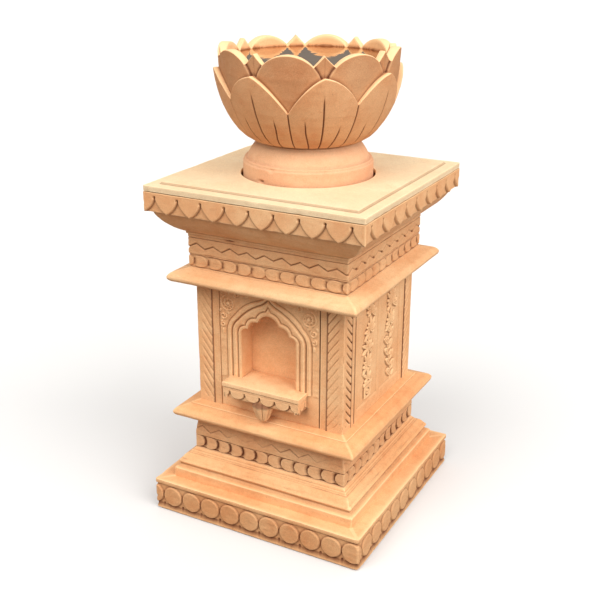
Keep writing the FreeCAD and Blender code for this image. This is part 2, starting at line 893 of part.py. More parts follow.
# Pot foot: a low drum with a step, a shoulder and a sloping neck, and a spigot for the bowl
def make_foot():
    drum = size("drum_radius")
    drum_top = slab_foot + size("drum_height")
    step = size("drum_step_radius")
    step_top = drum_top + size("drum_step_height")
    shoulder = size("foot_shoulder_radius")
    shoulder_top = step_top + size("foot_shoulder_height")
    neck = size("foot_neck_radius")
    spigot = size("spigot_radius")
    body = new_body("PotFoot")
    profile = body_sketch(body, "FootProfile", "XZ_Plane", 0, [
        (0, slab_foot),
        (drum, slab_foot),
        (drum, drum_top),
        (step, drum_top),
        (step, step_top),
        (shoulder, shoulder_top),
        (neck, bowl_foot),
        (spigot, bowl_foot),
        (spigot, bowl_foot + size("spigot_height")),
        (0, bowl_foot + size("spigot_height")),
    ])
    revolved(body, "FootTurning", profile)
    node(body, "pot_foot")


def radial_cut(body, name, outline_at, near, far):
    """Cut the rim between two upright planes with an outline that widens with the radius, all round."""
    first = body_sketch(body, name + "Near", "YZ_Plane", near, outline_at(near))
    second = body_sketch(body, name + "Far", "YZ_Plane", far, outline_at(far))
    doc.recompute()
    feature = body.newObject("PartDesign::SubtractiveLoft", name)
    feature.Profile = first
    feature.Sections = [second]
    feature.Ruled = True
    doc.recompute()
    return around(body, name + "AllRound", feature, PETALS)


def spread(angle):
    """Half width of a sector at unit distance."""
    return math.tan(math.radians(angle))


def rim_outline(reach):
    """Between the tips of two round petals: a notch, a small pointed petal and a notch."""
    tip = reach * spread(180 / PETALS)
    notch = reach * spread(NOTCH_ANGLE)
    floor = bowl_rim - size("rim_notch_drop")
    sky = bowl_rim + overrun
    return [
        (-tip, bowl_rim, bulge("round_petal")),
        (-notch, floor),
        (0, bowl_rim),
        (notch, floor, bulge("round_petal")),
        (tip, bowl_rim),
        (tip, sky),
        (-tip, sky),
    ]


def petal_outline(reach):
    """Between the tips of two large petals: down one ogee side to the valley and up the next."""
    tip = reach * spread(180 / PETALS)
    shoulder = reach * spread(180 / PETALS - TIP_ANGLE)
    high = bowl_rim - size("petal_tip_drop")
    bend = high - size("petal_shoulder_drop")
    sky = high + overrun
    return [
        (-tip, high, -bulge("petal_point")),
        (-shoulder, bend, bulge("petal_side")),
        (0, bowl_rim - size("petal_valley_drop"), bulge("petal_side")),
        (shoulder, bend, -bulge("petal_point")),
        (tip, high),
        (tip, sky),
        (-tip, sky),
    ]


# Lotus bowl: a turned bowl whose rim is cut into petals, with a tier of large petals outside
def make_bowl():
    rim = size("bowl_rim_radius")
    waist = bowl_rim - size("bowl_waist_drop")
    side = bowl_rim - size("bowl_side_drop")
    inner_side = bowl_rim - size("bowl_inner_side_drop")
    floor = bowl_foot + size("bowl_floor")
    recess = size("spigot_radius") + size("spigot_clearance")
    recess_top = bowl_foot + size("spigot_height") + size("spigot_clearance")
    neck = size("foot_neck_radius")
    near = size("bowl_inner_side_radius") - overrun
    far = size("petal_tip_radius") + overrun * 2
    raised = bowl_rim + overrun / 2
    vessel = new_body("BowlVessel")
    inner_waist = (rim - size("bowl_wall"), waist)
    inner_bend = (size("bowl_inner_side_radius"), inner_side)
    floor_edge = (size("bowl_floor_radius"), floor)
    inside = turned(inner_waist, inner_bend, bulge("bowl_inside"), INNER_RUNS)
    bottom = turned(inner_bend, floor_edge, bulge("bowl_bottom"), INNER_RUNS)
    profile = body_sketch(vessel, "VesselProfile", "XZ_Plane", 0, [
        (0, recess_top),
        (recess, recess_top),
        (recess, bowl_foot),
        (neck, bowl_foot),
        (size("bowl_side_radius"), side),
        (size("bowl_waist_radius"), waist),
        (rim, bowl_rim),
        (rim, raised),
        (rim - size("bowl_wall"), raised),
    ] + inside + bottom + [floor_edge, (0, floor)])
    revolved(vessel, "VesselTurning", profile)
    radial_cut(vessel, "RimCut", rim_outline, near, far)
    petals = new_body("OuterPetals")
    tip = size("petal_tip_radius")
    tall = bowl_rim - size("petal_tip_drop") + overrun / 2
    core = size("bowl_waist_radius") - size("bowl_wall") / 2
    petal_side = (size("petal_side_radius"), bowl_foot + size("petal_side_rise"))
    petal_belly = (size("petal_belly_radius"), bowl_foot + size("petal_belly_rise"))
    lower = turned((neck, bowl_foot), petal_side, -bulge("petal_foot"), OUTER_RUNS)
    upper = turned(petal_side, petal_belly, -bulge("petal_belly"), OUTER_RUNS)
    profile = body_sketch(petals, "PetalProfile", "XZ_Plane", 0, lower + upper + [
        petal_belly,
        (tip, bowl_rim - size("petal_tip_drop")),
        (tip, tall),
        (core, tall),
        (core, waist),
        (size("bowl_inner_side_radius") + size("bowl_wall") / 2, inner_side),
    ])
    revolved(petals, "PetalTurning", profile)
    radial_cut(petals, "PetalCut", petal_outline, near, far)
    petals.Placement = FreeCAD.Placement(Vector(), FreeCAD.Rotation(Vector(0, 0, 1), 180 / PETALS))
    bowl = fuse("LotusBowl", vessel, petals)
    bowl.Placement = FreeCAD.Placement(Vector(), FreeCAD.Rotation(Vector(0, 0, 1), REST_ANGLE))
    node(bowl, "lotus_bowl")


make_plinth()
make_base_moulding()
make_friezes()
make_cornices()
make_dowels()
make_posts()
make_front_panel()
make_niche_back()
make_side_panels()
make_shelf()
make_bracket()
make_pendant()
make_soffit()
make_fringe()
make_top_slab()
make_foot()
make_bowl()
doc.recompute()


def check(item):
    """Stop if an object of the document has failed."""
    for state in ("Invalid", "Error"):
        if state in item.State:
            raise RuntimeError(item.Name + " is " + state)


for item in doc.Objects:
    check(item)
os.makedirs("parts", exist_ok=True)
for item in nodes:
    if item.Shape.isNull() or not item.Shape.isValid():
        raise RuntimeError(item.Label + " has no valid shape")
for item in nodes:
    item.Shape.exportStep("parts/" + item.Label + ".step")
    box = item.Shape.BoundBox
    print(item.Label, len(item.Shape.Solids), "solids", round(item.Shape.Volume / 1000, 1), "cm3",
          [round(edge, 1) for edge in (box.XMin, box.YMin, box.ZMin, box.XMax, box.YMax, box.ZMax)])
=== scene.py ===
import math

import bmesh
import bpy
import numpy as np
from mathutils import Matrix, Vector


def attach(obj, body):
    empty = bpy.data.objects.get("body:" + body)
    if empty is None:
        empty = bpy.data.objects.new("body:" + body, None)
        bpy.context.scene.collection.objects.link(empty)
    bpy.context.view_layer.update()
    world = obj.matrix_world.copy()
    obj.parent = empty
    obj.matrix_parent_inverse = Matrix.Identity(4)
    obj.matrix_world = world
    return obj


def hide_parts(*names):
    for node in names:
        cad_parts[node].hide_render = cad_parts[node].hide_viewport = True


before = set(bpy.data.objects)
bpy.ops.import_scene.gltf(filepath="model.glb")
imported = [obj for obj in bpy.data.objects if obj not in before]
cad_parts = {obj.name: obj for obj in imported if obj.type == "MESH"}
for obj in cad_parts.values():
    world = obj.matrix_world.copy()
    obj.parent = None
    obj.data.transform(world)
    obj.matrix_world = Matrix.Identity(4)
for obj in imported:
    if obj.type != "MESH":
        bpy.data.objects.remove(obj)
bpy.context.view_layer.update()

# Carved sandstone tulsi planter. Lengths are in millimetres until a mesh is made.
MM = 0.001

# Levels and half widths of the courses, as packed
PLINTH_TOP = 66.6
BASE_TOP = 124.8
LOWER_FRIEZE_TOP = 202.0
SHAFT_FOOT = 230.5
SHAFT_TOP = 482.0
UPPER_FRIEZE_FOOT = 506.0
SOFFIT_FOOT = 573.5
FRINGE_FOOT = 620.8
SLAB_FOOT = 657.4
SLAB_EDGE_TOP = 669.2
SLAB_TOP = 673.5
BOWL_FOOT = 735.3
BOWL_RIM = 905.0
PLINTH_HALF = 225.0
FRIEZE_HALF = 164.4
SHAFT_HALF = 155.5
PANEL_HALF = 106.5
PANEL_BACK = 117.5
NICHE_SPRING = 391.0
SHELF_TOP = 299.5
SHELF_FOOT = 290.0
CORNICE_HALF = 195.5
FRINGE_HALF = 219.5
SLAB_HALF = 219.2
WELL_RADIUS = 125.9
REST_ANGLE = -7.8        # degrees that the bowl is turned at rest
CORNER_COLUMNS = 4       # columns of a square course's grid that round each of its corners


# Number helpers
def smooth(share):
    share = np.clip(share, 0.0, 1.0)
    return share * share * (3.0 - 2.0 * share)


def lattice(column, row, layer, seed):
    """A fixed number from -1 to 1 for each cell of a lattice."""
    mixed = column * 374761393 + row * 668265263 + layer * 1442695041 + seed * 1274126177
    mixed = ((mixed ^ (mixed >> 13)) & 0xFFFFFFFF) * 1274126177
    mixed = (mixed ^ (mixed >> 16)) & 0xFFFF
    return mixed / 32767.5 - 1.0


def jitter(index, seed):
    index = np.asarray(index, dtype=np.int64)
    return lattice(index, index * 7 + 3, index * 13 + 5, seed)


def noise(points, feature, seed):
    """Smooth noise from -1 to 1 whose features have the given size."""
    scaled = points / feature
    cell = np.floor(scaled).astype(np.int64)
    part = scaled - cell
    part = part * part * (3.0 - 2.0 * part)
    total = np.zeros(len(points))
    for step_x in (0, 1):
        for step_y in (0, 1):
            for step_z in (0, 1):
                weight = (np.where(step_x, part[:, 0], 1 - part[:, 0])
                          * np.where(step_y, part[:, 1], 1 - part[:, 1])
                          * np.where(step_z, part[:, 2], 1 - part[:, 2]))
                total += weight * lattice(cell[:, 0] + step_x, cell[:, 1] + step_y, cell[:, 2] + step_z, seed)
    return total


def blurred(grid, rows, columns):
    """Box blur of a grid, with its edges repeated."""
    for axis, reach in ((0, rows), (1, columns)):
        pad = [(0, 0), (0, 0)]
        pad[axis] = (reach + 1, reach)
        running = np.cumsum(np.pad(grid, pad, mode="edge"), axis=axis)
        high = [slice(None), slice(None)]
        low = [slice(None), slice(None)]
        high[axis] = slice(2 * reach + 1, None)
        low[axis] = slice(0, -(2 * reach + 1))
        grid = (running[tuple(high)] - running[tuple(low)]) / (2 * reach + 1)
    return grid


def hollows(grid, rows, columns, depth=2.2):
    """Where a grid of heights lies below what is round it, from 0 to 1."""
    return np.clip((blurred(grid, rows, columns) - grid) / depth, 0.0, 1.0)


def ridges(grid, rows, columns, depth=1.8):
    """Where a grid of heights stands above what is round it, from 0 to 1."""
    return hollows(-grid, rows, columns, depth)


# Outlines
def arc_points(start, end, share, step):
    """Points from start up to, but without, end, on an arc that bulges left by a share of its chord."""
    start = np.array(start, float)
    end = np.array(end, float)
    chord = end - start
    length = math.hypot(*chord)
    count = max(1, int(round(length / step)))
    along = np.arange(count) / count
    if abs(share) < 1e-6:
        return start + along[:, None] * chord
    half = 2.0 * math.atan(2.0 * abs(share))
    radius = length / (2.0 * math.sin(half))
    left = np.array([-chord[1], chord[0]]) / length * (1.0 if share > 0 else -1.0)
    centre = (start + end) / 2.0 - left * radius * math.cos(half)
    turn = -half + 2.0 * half * along
    forward = chord / length
    return centre + radius * (np.sin(turn)[:, None] * forward + np.cos(turn)[:, None] * left)


def traced(corners, step, closed=False):
    """Dense points along corners; a third entry makes the run that follows an arc."""
    runs = []
    count = len(corners)
    for index in range(count if closed else count - 1):
        corner = corners[index]
        share = corner[2] if len(corner) == 3 else 0.0
        runs.append(arc_points(corner[:2], corners[(index + 1) % count][:2], share, step))
    if not closed:
        runs.append(np.array([corners[-1][:2]], float))
    return np.concatenate(runs)


def softened(points, reach, step):
    """Round the corners of dense points over a reach, and keep both ends."""
    span = max(1, int(round(reach / step)))
    kernel = np.hanning(2 * span + 3)[1:-1]
    kernel /= kernel.sum()
    padded = np.pad(points, ((span, span), (0, 0)), mode="reflect", reflect_type="odd")
    return np.stack([np.convolve(padded[:, axis], kernel, mode="valid") for axis in (0, 1)], axis=1)


def thinned(points, limit_at, tolerance=0.05):
    """Drop points that a straight run replaces, with a longest spacing that may change along the way."""
    kept = [0]
    index = 0
    last = len(points) - 1
    while index < last:
        best = index + 1
        for ahead in range(index + 2, min(last, index + 400) + 1):
            run = points[ahead] - points[index]
            length = math.hypot(*run)
            if length > limit_at(points[index]):
                break
            between = points[index + 1:ahead] - points[index]
            away = np.abs(between[:, 0] * run[1] - between[:, 1] * run[0]) / max(length, 1e-9)
            if away.max() > tolerance:
                break
            best = ahead
        kept.append(best)
        index = best
    return points[kept]


def profile(corners, spacing=9.0, soften=0.9, bands=(), fine=1.15):
    """A moulding's profile as rows of half width and height, close together in the carved bands."""
    step = 0.3
    points = softened(traced(corners, step), soften, step)

    def limit_at(point):
        for low, high in bands:
            if low <= point[1] < high:
                return fine
        return spacing

    return thinned(points, limit_at)


def travelled(rows):
    """Distance along a profile from its first row."""
    return np.append(0.0, np.cumsum(np.hypot(*np.diff(rows, axis=0).T)))


def distance(across, up, line, closed=False):
    """Distance of each point from a line of points."""
    shape = across.shape
    spots = np.stack([across.ravel(), up.ravel()], axis=1)
    nearest = np.full(len(spots), 1e9)
    count = len(line)
    for index in range(count if closed else count - 1):
        start = line[index]
        run = line[(index + 1) % count] - start
        length = run @ run
        if length < 1e-12:
            continue
        share = np.clip(((spots - start) @ run) / length, 0.0, 1.0)
        gap = spots - start - share[:, None] * run
        nearest = np.minimum(nearest, np.einsum("ij,ij->i", gap, gap))
    return np.sqrt(nearest).reshape(shape)


def inside(across, up, line):
    """Whether each point lies inside a closed outline."""
    hit = np.zeros(across.shape, bool)
    count = len(line)
    for index in range(count):
        ax, az = line[index]
        bx, bz = line[(index + 1) % count]
        if az == bz:
            continue
        crosses = ((az > up) != (bz > up)) & (across < (bx - ax) * (up - az) / (bz - az) + ax)
        hit ^= crosses
    return hit


def signed(across, up, line):
    """Distance from a closed outline, above zero outside it."""
    away = distance(across, up, line, closed=True)
    return np.where(inside(across, up, line), -away, away)


def groove(away, half, depth):
    """A cut that runs along a line."""
    return -depth * (1.0 - smooth(np.abs(away) / half))


# Materials
def linear(colour):
    return [value / 12.92 if value <= 0.04045 else ((value + 0.055) / 1.055) ** 2.4 for value in colour]


class Nodes:
    """A small helper for building the node tree of a material or a world."""

    def __init__(self, owner, output="ShaderNodeOutputMaterial"):
        owner.use_nodes = True
        self.owner = owner
        self.tree = owner.node_tree
        self.tree.nodes.clear()
        self.output = self.add(output)

    def feed(self, value, socket):
        """Link another node's output to an input, or set the input to a number, vector or colour."""
        if isinstance(value, bpy.types.NodeSocket):
            self.tree.links.new(value, socket)
        elif socket.type == "RGBA":
            socket.default_value = list(value) + [1.0]
        else:
            socket.default_value = value

    def add(self, kind, inputs=None, **settings):
        node = self.tree.nodes.new(kind)
        for key, value in settings.items():
            setattr(node, key, value)
        for key, value in (inputs or {}).items():
            self.feed(value, node.inputs[key])
        return node

    def place(self):
        return self.add("ShaderNodeTexCoord").outputs["Object"]

    def noise(self, place, scale, detail=3.0, roughness=0.55, stretch=None):
        if stretch:
            place = self.add("ShaderNodeMapping", {"Scale": stretch, "Vector": place}).outputs["Vector"]
        inputs = {"Scale": scale, "Detail": detail, "Roughness": roughness, "Vector": place}
        return self.add("ShaderNodeTexNoise", inputs).outputs["Fac"]

    def ramp(self, value, low, high, start=0.0, end=1.0, kind="SMOOTHSTEP"):
        inputs = {"Value": value, "From Min": low, "From Max": high, "To Min": start, "To Max": end}
        return self.add("ShaderNodeMapRange", inputs, interpolation_type=kind).outputs["Result"]

    def mix(self, factor, first, second, blend="MIX"):
        node = self.add("ShaderNodeMix", data_type="RGBA", blend_type=blend)
        for name, value in (("Factor", factor), ("A", first), ("B", second)):
            self.feed(value, [item for item in node.inputs if item.name == name and item.enabled][0])
        return [item for item in node.outputs if item.enabled][0]

    def maths(self, operation, first, second):
        return self.add("ShaderNodeMath", {0: first, 1: second}, operation=operation).outputs["Value"]

    def attribute(self, name):
        return self.add("ShaderNodeAttribute", attribute_name=name, attribute_type="GEOMETRY").outputs["Fac"]

    def bump(self, height, strength, distance, under=None):
        inputs = {"Height": height, "Strength": strength, "Distance": distance}
        if under is not None:
            inputs["Normal"] = under
        return self.add("ShaderNodeBump", inputs).outputs["Normal"]

    def blend(self, factor, first, second):
        return self.add("ShaderNodeMixShader", {"Fac": factor, 1: first.outputs[0], 2: second.outputs[0]})

    def finished(self, shader):
        """Link a shader to the output, and give back what the tree belongs to."""
        self.tree.links.new(shader.outputs[0], self.output.inputs["Surface"])
        return self.owner


def stone(name, main, light, warm, deep=(0.37, 0.175, 0.08), worn=(1.0, 0.85, 0.655), wet=False):
    """Fine sandstone: cloudy tone, faint bedding, sandy grain and dark flecks, with a pale colour at edges
    for wear and painted highlight, and a dark colour for painted shade and dark joints.
    """
    main, light, warm, deep, worn = (linear(tone) for tone in (main, light, warm, deep, worn))
    nodes = Nodes(bpy.data.materials.new(name))
    place = nodes.place()
    clouds = nodes.noise(place, 7.0, 4.0, 0.6)
    patches = nodes.noise(place, 19.0, 3.0, 0.5, stretch=(1.0, 1.3, 0.8))
    bedding = nodes.noise(place, 9.0, 4.0, 0.65, stretch=(0.9, 0.8, 4.0))
    grain = nodes.noise(place, 620.0, 3.0, 0.75)
    mottle = nodes.noise(place, 95.0, 6.0, 0.75, stretch=(0.9, 0.9, 1.15))
    flecks = nodes.noise(place, 210.0, 2.0, 0.6)
    colour = nodes.mix(nodes.ramp(clouds, 0.36, 0.66), main, light)
    colour = nodes.mix(nodes.ramp(patches, 0.52, 0.78, 0.0, 0.4), colour, warm)
    colour = nodes.mix(nodes.ramp(bedding, 0.45, 0.72, 0.0, 0.2), colour, warm)
    speckle = nodes.ramp(grain, 0.3, 0.72, 0.86, 1.1)
    grey = nodes.add("ShaderNodeCombineColor", {"Red": speckle, "Green": speckle, "Blue": speckle})
    colour = nodes.mix(1.0, colour, grey.outputs["Color"], "MULTIPLY")
    colour = nodes.mix(nodes.ramp(mottle, 0.5, 0.72, 0.0, 0.35), colour, warm)
    colour = nodes.mix(nodes.ramp(mottle, 0.5, 0.3, 0.0, 0.35), colour, light)
    colour = nodes.mix(nodes.ramp(flecks, 0.68, 0.76, 0.0, 0.25), colour, deep)
    # painted highlight: the edge attribute mixes the pale colour onto edges and ridges, partly as real wear
    colour = nodes.mix(nodes.ramp(nodes.attribute("edge"), 0.05, 1.0, 0.0, 0.7), colour, worn)
    # painted shade: the cavity attribute mixes the dark colour into hollows, recesses, coves and areas under
    # overhangs, and into dark joints
    colour = nodes.mix(nodes.ramp(nodes.attribute("cavity"), 0.0, 1.0, 0.0, 0.95), colour, deep)
    if wet:
        soaked = nodes.mix(1.0, colour, (0.42, 0.3, 0.22), "MULTIPLY")
        colour = nodes.mix(nodes.attribute("wet"), colour, soaked)
    rough = nodes.ramp(nodes.noise(place, 85.0, 3.0, 0.6), 0.3, 0.7, 0.71, 0.88)
    normal = nodes.bump(mottle, 0.75, 0.0013, under=nodes.bump(grain, 0.7, 0.0005))
    shader = {"Base Color": colour, "Roughness": rough, "Specular IOR Level": 0.35, "Normal": normal}
    return nodes.finished(nodes.add("ShaderNodeBsdfPrincipled", shader))


def steel(name):
    """Plain drawn steel bar."""
    nodes = Nodes(bpy.data.materials.new(name))
    scratches = nodes.noise(nodes.place(), 400.0, 3.0, 0.6, stretch=(1.0, 1.0, 0.05))
    colour = nodes.mix(nodes.ramp(scratches, 0.3, 0.7), linear((0.55, 0.55, 0.56)), linear((0.7, 0.7, 0.7)))
    rough = nodes.ramp(scratches, 0.3, 0.7, 0.28, 0.42)
    shader = {"Base Color": colour, "Roughness": rough, "Metallic": 1.0}
    return nodes.finished(nodes.add("ShaderNodeBsdfPrincipled", shader))


def water_surface(name):
    """Still water: clear, with a faint olive tint, a strong sheen at low angles and a painted pink tint on
    its reflections.
    """
    nodes = Nodes(bpy.data.materials.new(name))
    ripples = nodes.noise(nodes.place(), 26.0, 2.0, 0.5)
    normal = nodes.bump(ripples, 0.4, 0.0015)
    tint = nodes.mix(nodes.ramp(ripples, 0.3, 0.7), (0.42, 0.38, 0.24), (0.62, 0.53, 0.37))
    clear = nodes.add("ShaderNodeBsdfTransparent", {"Color": tint})
    # painted reflection: the gloss is tinted pink, the colour of the bowl's wall that it reflects
    gloss = nodes.add("ShaderNodeBsdfGlossy", {"Color": (0.79, 0.65, 0.54), "Roughness": 0.03,
                                               "Normal": normal})
    fresnel = nodes.add("ShaderNodeFresnel", {"IOR": 1.6, "Normal": normal})
    share = nodes.maths("MINIMUM", nodes.maths("MULTIPLY_ADD", fresnel.outputs["Fac"], 1.6), 0.95)
    return nodes.finished(nodes.blend(share, clear, gloss))


SANDSTONE = stone("CarvedSandstone", (0.9, 0.675, 0.48), (0.94, 0.755, 0.565), (0.85, 0.565, 0.365))
WARM_STONE = stone("WarmSandstone", (0.88, 0.635, 0.43), (0.925, 0.72, 0.52), (0.825, 0.52, 0.315))
PALE_STONE = stone("PaleSandstone", (0.905, 0.69, 0.495), (0.945, 0.775, 0.59), (0.855, 0.585, 0.385))
# painted light: a paler, less saturated copy of the sandstone for the top slab, partly its paler stone and
# partly light painted where the top catches the strongest light
TOP_STONE = stone("PaleLitSandstone", (0.915, 0.805, 0.655), (0.94, 0.845, 0.7), (0.9, 0.745, 0.57),
                  worn=(1.0, 0.9, 0.74))
PINK_STONE = stone("PinkSandstone", (0.88, 0.66, 0.51), (0.91, 0.72, 0.565), (0.85, 0.585, 0.425))
# painted shade: a darker, more orange copy of the pink sandstone for the bowl, which lies more in shade than
# the pot foot; wet stone darkens further
BOWL_STONE = stone("ShadedPinkSandstone", (0.86, 0.62, 0.43), (0.9, 0.69, 0.505), (0.81, 0.52, 0.33), wet=True)
STEEL = steel("DowelSteel")
WATER = water_surface("StillWater")
MATERIALS = {"sandstone": SANDSTONE, "pale_sandstone": PALE_STONE, "pink_sandstone": PINK_STONE}


# Making pieces
def weathered(points, seed, amount=1.0):
    """Move points a little, as a surface dressed by hand."""
    moved = points.copy()
    for axis in range(3):
        moved[:, axis] += amount * 0.28 * noise(points, 52.0, seed + axis)
        moved[:, axis] += amount * 0.13 * noise(points, 11.0, seed + 10 + axis)
    return moved


SHARP_ANGLE = 38.0


def piece(name, made, nodes, seed, body="pedestal", slot="sandstone", amount=1.0, sharp=SHARP_ANGLE,
          material=None):
    """A finished mesh piece that rides on a body, made from points, faces and shading."""
    points, faces, fields = made
    points = weathered(points, seed, amount)
    points[:, 2] = np.maximum(points[:, 2], 0.0)
    mesh = bpy.data.meshes.new(name)
    mesh.from_pydata((points * MM).tolist(), [], faces)
    for key in ("cavity", "edge", "wet"):
        layer = mesh.attributes.new(key, "FLOAT", "POINT")
        if key in fields:
            layer.data.foreach_set("value", np.asarray(fields[key], np.float32))
    mesh.polygons.foreach_set("use_smooth", np.ones(len(mesh.polygons), bool))
    mesh.set_sharp_from_angle(angle=math.radians(sharp))
    mesh.update()
    thing = bpy.data.objects.new(name, mesh)
    bpy.context.scene.collection.objects.link(thing)
    mesh.materials.append(material or MATERIALS[slot])
    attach(thing, body)
    if nodes:
        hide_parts(*nodes)
    return thing


def grid_faces(rows, columns, wrap_columns, wrap_rows=False):
    """Quads between the points of a grid, which may close on itself."""
    row = np.arange(rows if wrap_rows else rows - 1)
    column = np.arange(columns if wrap_columns else columns - 1)
    row, column = np.meshgrid(row, column, indexing="ij")
    row_up = (row + 1) % rows
    column_on = (column + 1) % columns
    quads = np.stack([row * columns + column, row * columns + column_on,
                      row_up * columns + column_on, row_up * columns + column], axis=-1)
    return quads.reshape(-1, 4).tolist()


def capped(points, rows, columns, **fields):
    """A ringed grid closed at both ends by fans about their middles: its points, faces and shading."""
    faces = grid_faces(rows, columns, True)
    foot = points[:columns].mean(axis=0)
    head = points[-columns:].mean(axis=0)
    base = len(points)
    top = base - columns
    for column in range(columns):
        following = (column + 1) % columns
        faces.append([base, following, column])
        faces.append([base + 1, top + column, top + following])
    points = np.concatenate([points, [foot, head]])
    return points, faces, {key: np.append(values, [0, 0]) for key, values in fields.items()}


def bends(rows):
    """How sharply the rows of a profile turn: above zero outwards, below zero inwards."""
    run = np.diff(rows, axis=0)
    angle = np.unwrap(np.arctan2(run[:, 1], run[:, 0]))
    turn = np.zeros(len(rows))
    turn[1:-1] = np.diff(angle)
    wide = np.convolve(turn, [0.5, 1.0, 0.5], mode="same")
    return np.clip(wide / 0.9, -1.0, 1.0)


def coves(rows, reach=5.0):
    """How deep each row of a profile lies in a hollow that is a few millimetres wide, from 0 to 1."""
    along = travelled(rows)
    ahead = [np.interp(along + side * reach, along, rows[:, axis]) for side in (1, -1) for axis in (0, 1)]
    first = np.arctan2(ahead[1] - rows[:, 1], ahead[0] - rows[:, 0])
    second = np.arctan2(rows[:, 1] - ahead[3], rows[:, 0] - ahead[2])
    turn = (first - second + math.pi) % (2 * math.pi) - math.pi
    inner = (along > reach) & (along < along[-1] - reach)
    return np.where(inner, np.clip(-turn / 1.2, 0.0, 1.0), 0.0)


def brushed(across, along, seed):
    """Long shallow marks of a tool drawn along a moulding, from -1 to 1."""
    spots = np.stack([across.ravel() * 0.12, along.ravel(), np.full(across.size, 60.0)], axis=1)
    broad = noise(spots, 3.6, seed)
    return (0.7 * broad + 0.3 * noise(spots * np.array([2.5, 1.0, 1.0]), 1.9, seed + 7)).reshape(across.shape)


def quarter(points, turns):
    """Turn points a number of quarters about the upright axis."""
    for _ in range(turns % 4):
        points = np.stack([-points[..., 1], points[..., 0], points[..., 2]], axis=-1)
    return points


def square_ring(half, level, share, corner, heights):
    """Points of four mitred faces of given relief; a rounded corner follows each face."""
    across = share * (half - corner)
    turn = np.linspace(0, math.pi / 2, CORNER_COLUMNS + 2)[1:-1]
    mix = (turn / (math.pi / 2))[None, :]
    blocks = []
    for face in range(4):
        height = heights[face]
        flat = np.stack([across, -(half + height), np.broadcast_to(level, across.shape)], axis=-1)
        out = height[:, -1:] * (1 - mix) + heights[(face + 1) % 4][:, :1] * mix + corner
        bend = np.stack([half - corner + out * np.sin(turn), -(half - corner) - out * np.cos(turn),
                         np.broadcast_to(level, out.shape)], axis=-1)
        blocks.append(quarter(np.concatenate([flat, bend], axis=1), face))
    return np.concatenate(blocks, axis=1)


def pushed_in(points, amount):
    """Move points towards the upright axis."""
    points = points.copy()
    reach = np.linalg.norm(points[:, :2], axis=1)
    points[:, :2] -= points[:, :2] / np.maximum(reach, 1.0)[:, None] * amount[:, None]
    return points


def course(rows, relief=None, step=3.0, corner=1.6, chips=0.8, seed=1, shade=0.6, pale=0.6, sunk=0.0,
           dust=0.0, marks=0.0):
    """A square ring of four mitred faces with a profile, carving, tool marks and worn edges, with painted
    shade in its hollows, recesses, coves, tool-mark grooves and upright faces, and painted highlight on its
    ridges, raised marks, convex bends and corners.
    """
    half = rows[:, 0][:, None]
    level = rows[:, 1][:, None]
    columns = max(8, int(round(2 * rows[:, 0].max() / step)))
    share = np.linspace(-1.0, 1.0, columns)[None, :]
    across = share * (half - corner)
    up = np.broadcast_to(level, across.shape)
    along = np.broadcast_to(travelled(rows)[:, None], across.shape)
    drawn = [marks * brushed(across, along, seed + face) for face in range(4)]
    heights = [0.5 * drawn[face] + (relief(face, across, up) if relief else 0.0) for face in range(4)]
    upright = np.abs(np.gradient(rows[:, 0])) < 0.3 * np.abs(np.gradient(rows[:, 1]))
    sweep = bends(rows)[:, None]
    # painted shade in the profile's inward bends and coves
    deep = np.maximum(-sweep * 0.5, coves(rows)[:, None] * 0.55)
    near = 1.0 - smooth((half - corner - np.abs(across)) / 2.0)
    # convex bends and rounded corners: where the edges chip and where painted highlight goes
    rim = np.maximum(np.clip(sweep, 0, 1) * 0.8, near)
    corner_shape = (len(rows), CORNER_COLUMNS)
    cavities, edges, lights = [], [], []
    for height, strokes in zip(heights, drawn):
        # painted shade: darker in the carving's hollows, in deep recesses, on upright faces, which take less
        # light than the tops, and in the tool marks' grooves
        hollow = shade * hollows(height, 3, 3) + sunk * np.clip(-height / 5.0, 0, 1) + dust * upright[:, None]
        hollow = np.maximum(hollow + 0.45 * np.clip(-strokes, 0, 1), deep)
        hollow = np.clip(hollow, 0, 1)
        # painted highlight on the carving's ridges, the raised tool marks, convex bends and corners
        lit = np.maximum(pale * ridges(height, 3, 3), 0.6 * np.clip(strokes, 0, 1))
        cavities += [hollow, np.repeat(hollow[:, -1:], CORNER_COLUMNS, axis=1)]
        edges += [rim, np.ones(corner_shape)]
        lights += [np.maximum(rim * (1 - 0.5 * near), lit), np.full(corner_shape, 0.5)]
    cavity, edge, light = (np.concatenate(blocks, axis=1) for blocks in (cavities, edges, lights))
    points = square_ring(half, level, share, corner, heights).reshape(-1, 3)
    worn = edge.ravel() * smooth((noise(points, 13.0, seed + 40) - 0.35) / 0.4)
    worn += 0.35 * edge.ravel() * smooth((noise(points, 5.0, seed + 41) - 0.3) / 0.5)
    points = pushed_in(points, chips * worn)
    return capped(points, *cavity.shape, cavity=cavity.ravel(), edge=(light * (1 - cavity)).ravel())


def make_course(name, node, rows, seed, relief=None, slot="sandstone", material=None, **settings):
    """A square course as a piece of the pedestal."""
    piece(name, course(rows, relief, seed=seed, **settings), (node,), seed, slot=slot, material=material)


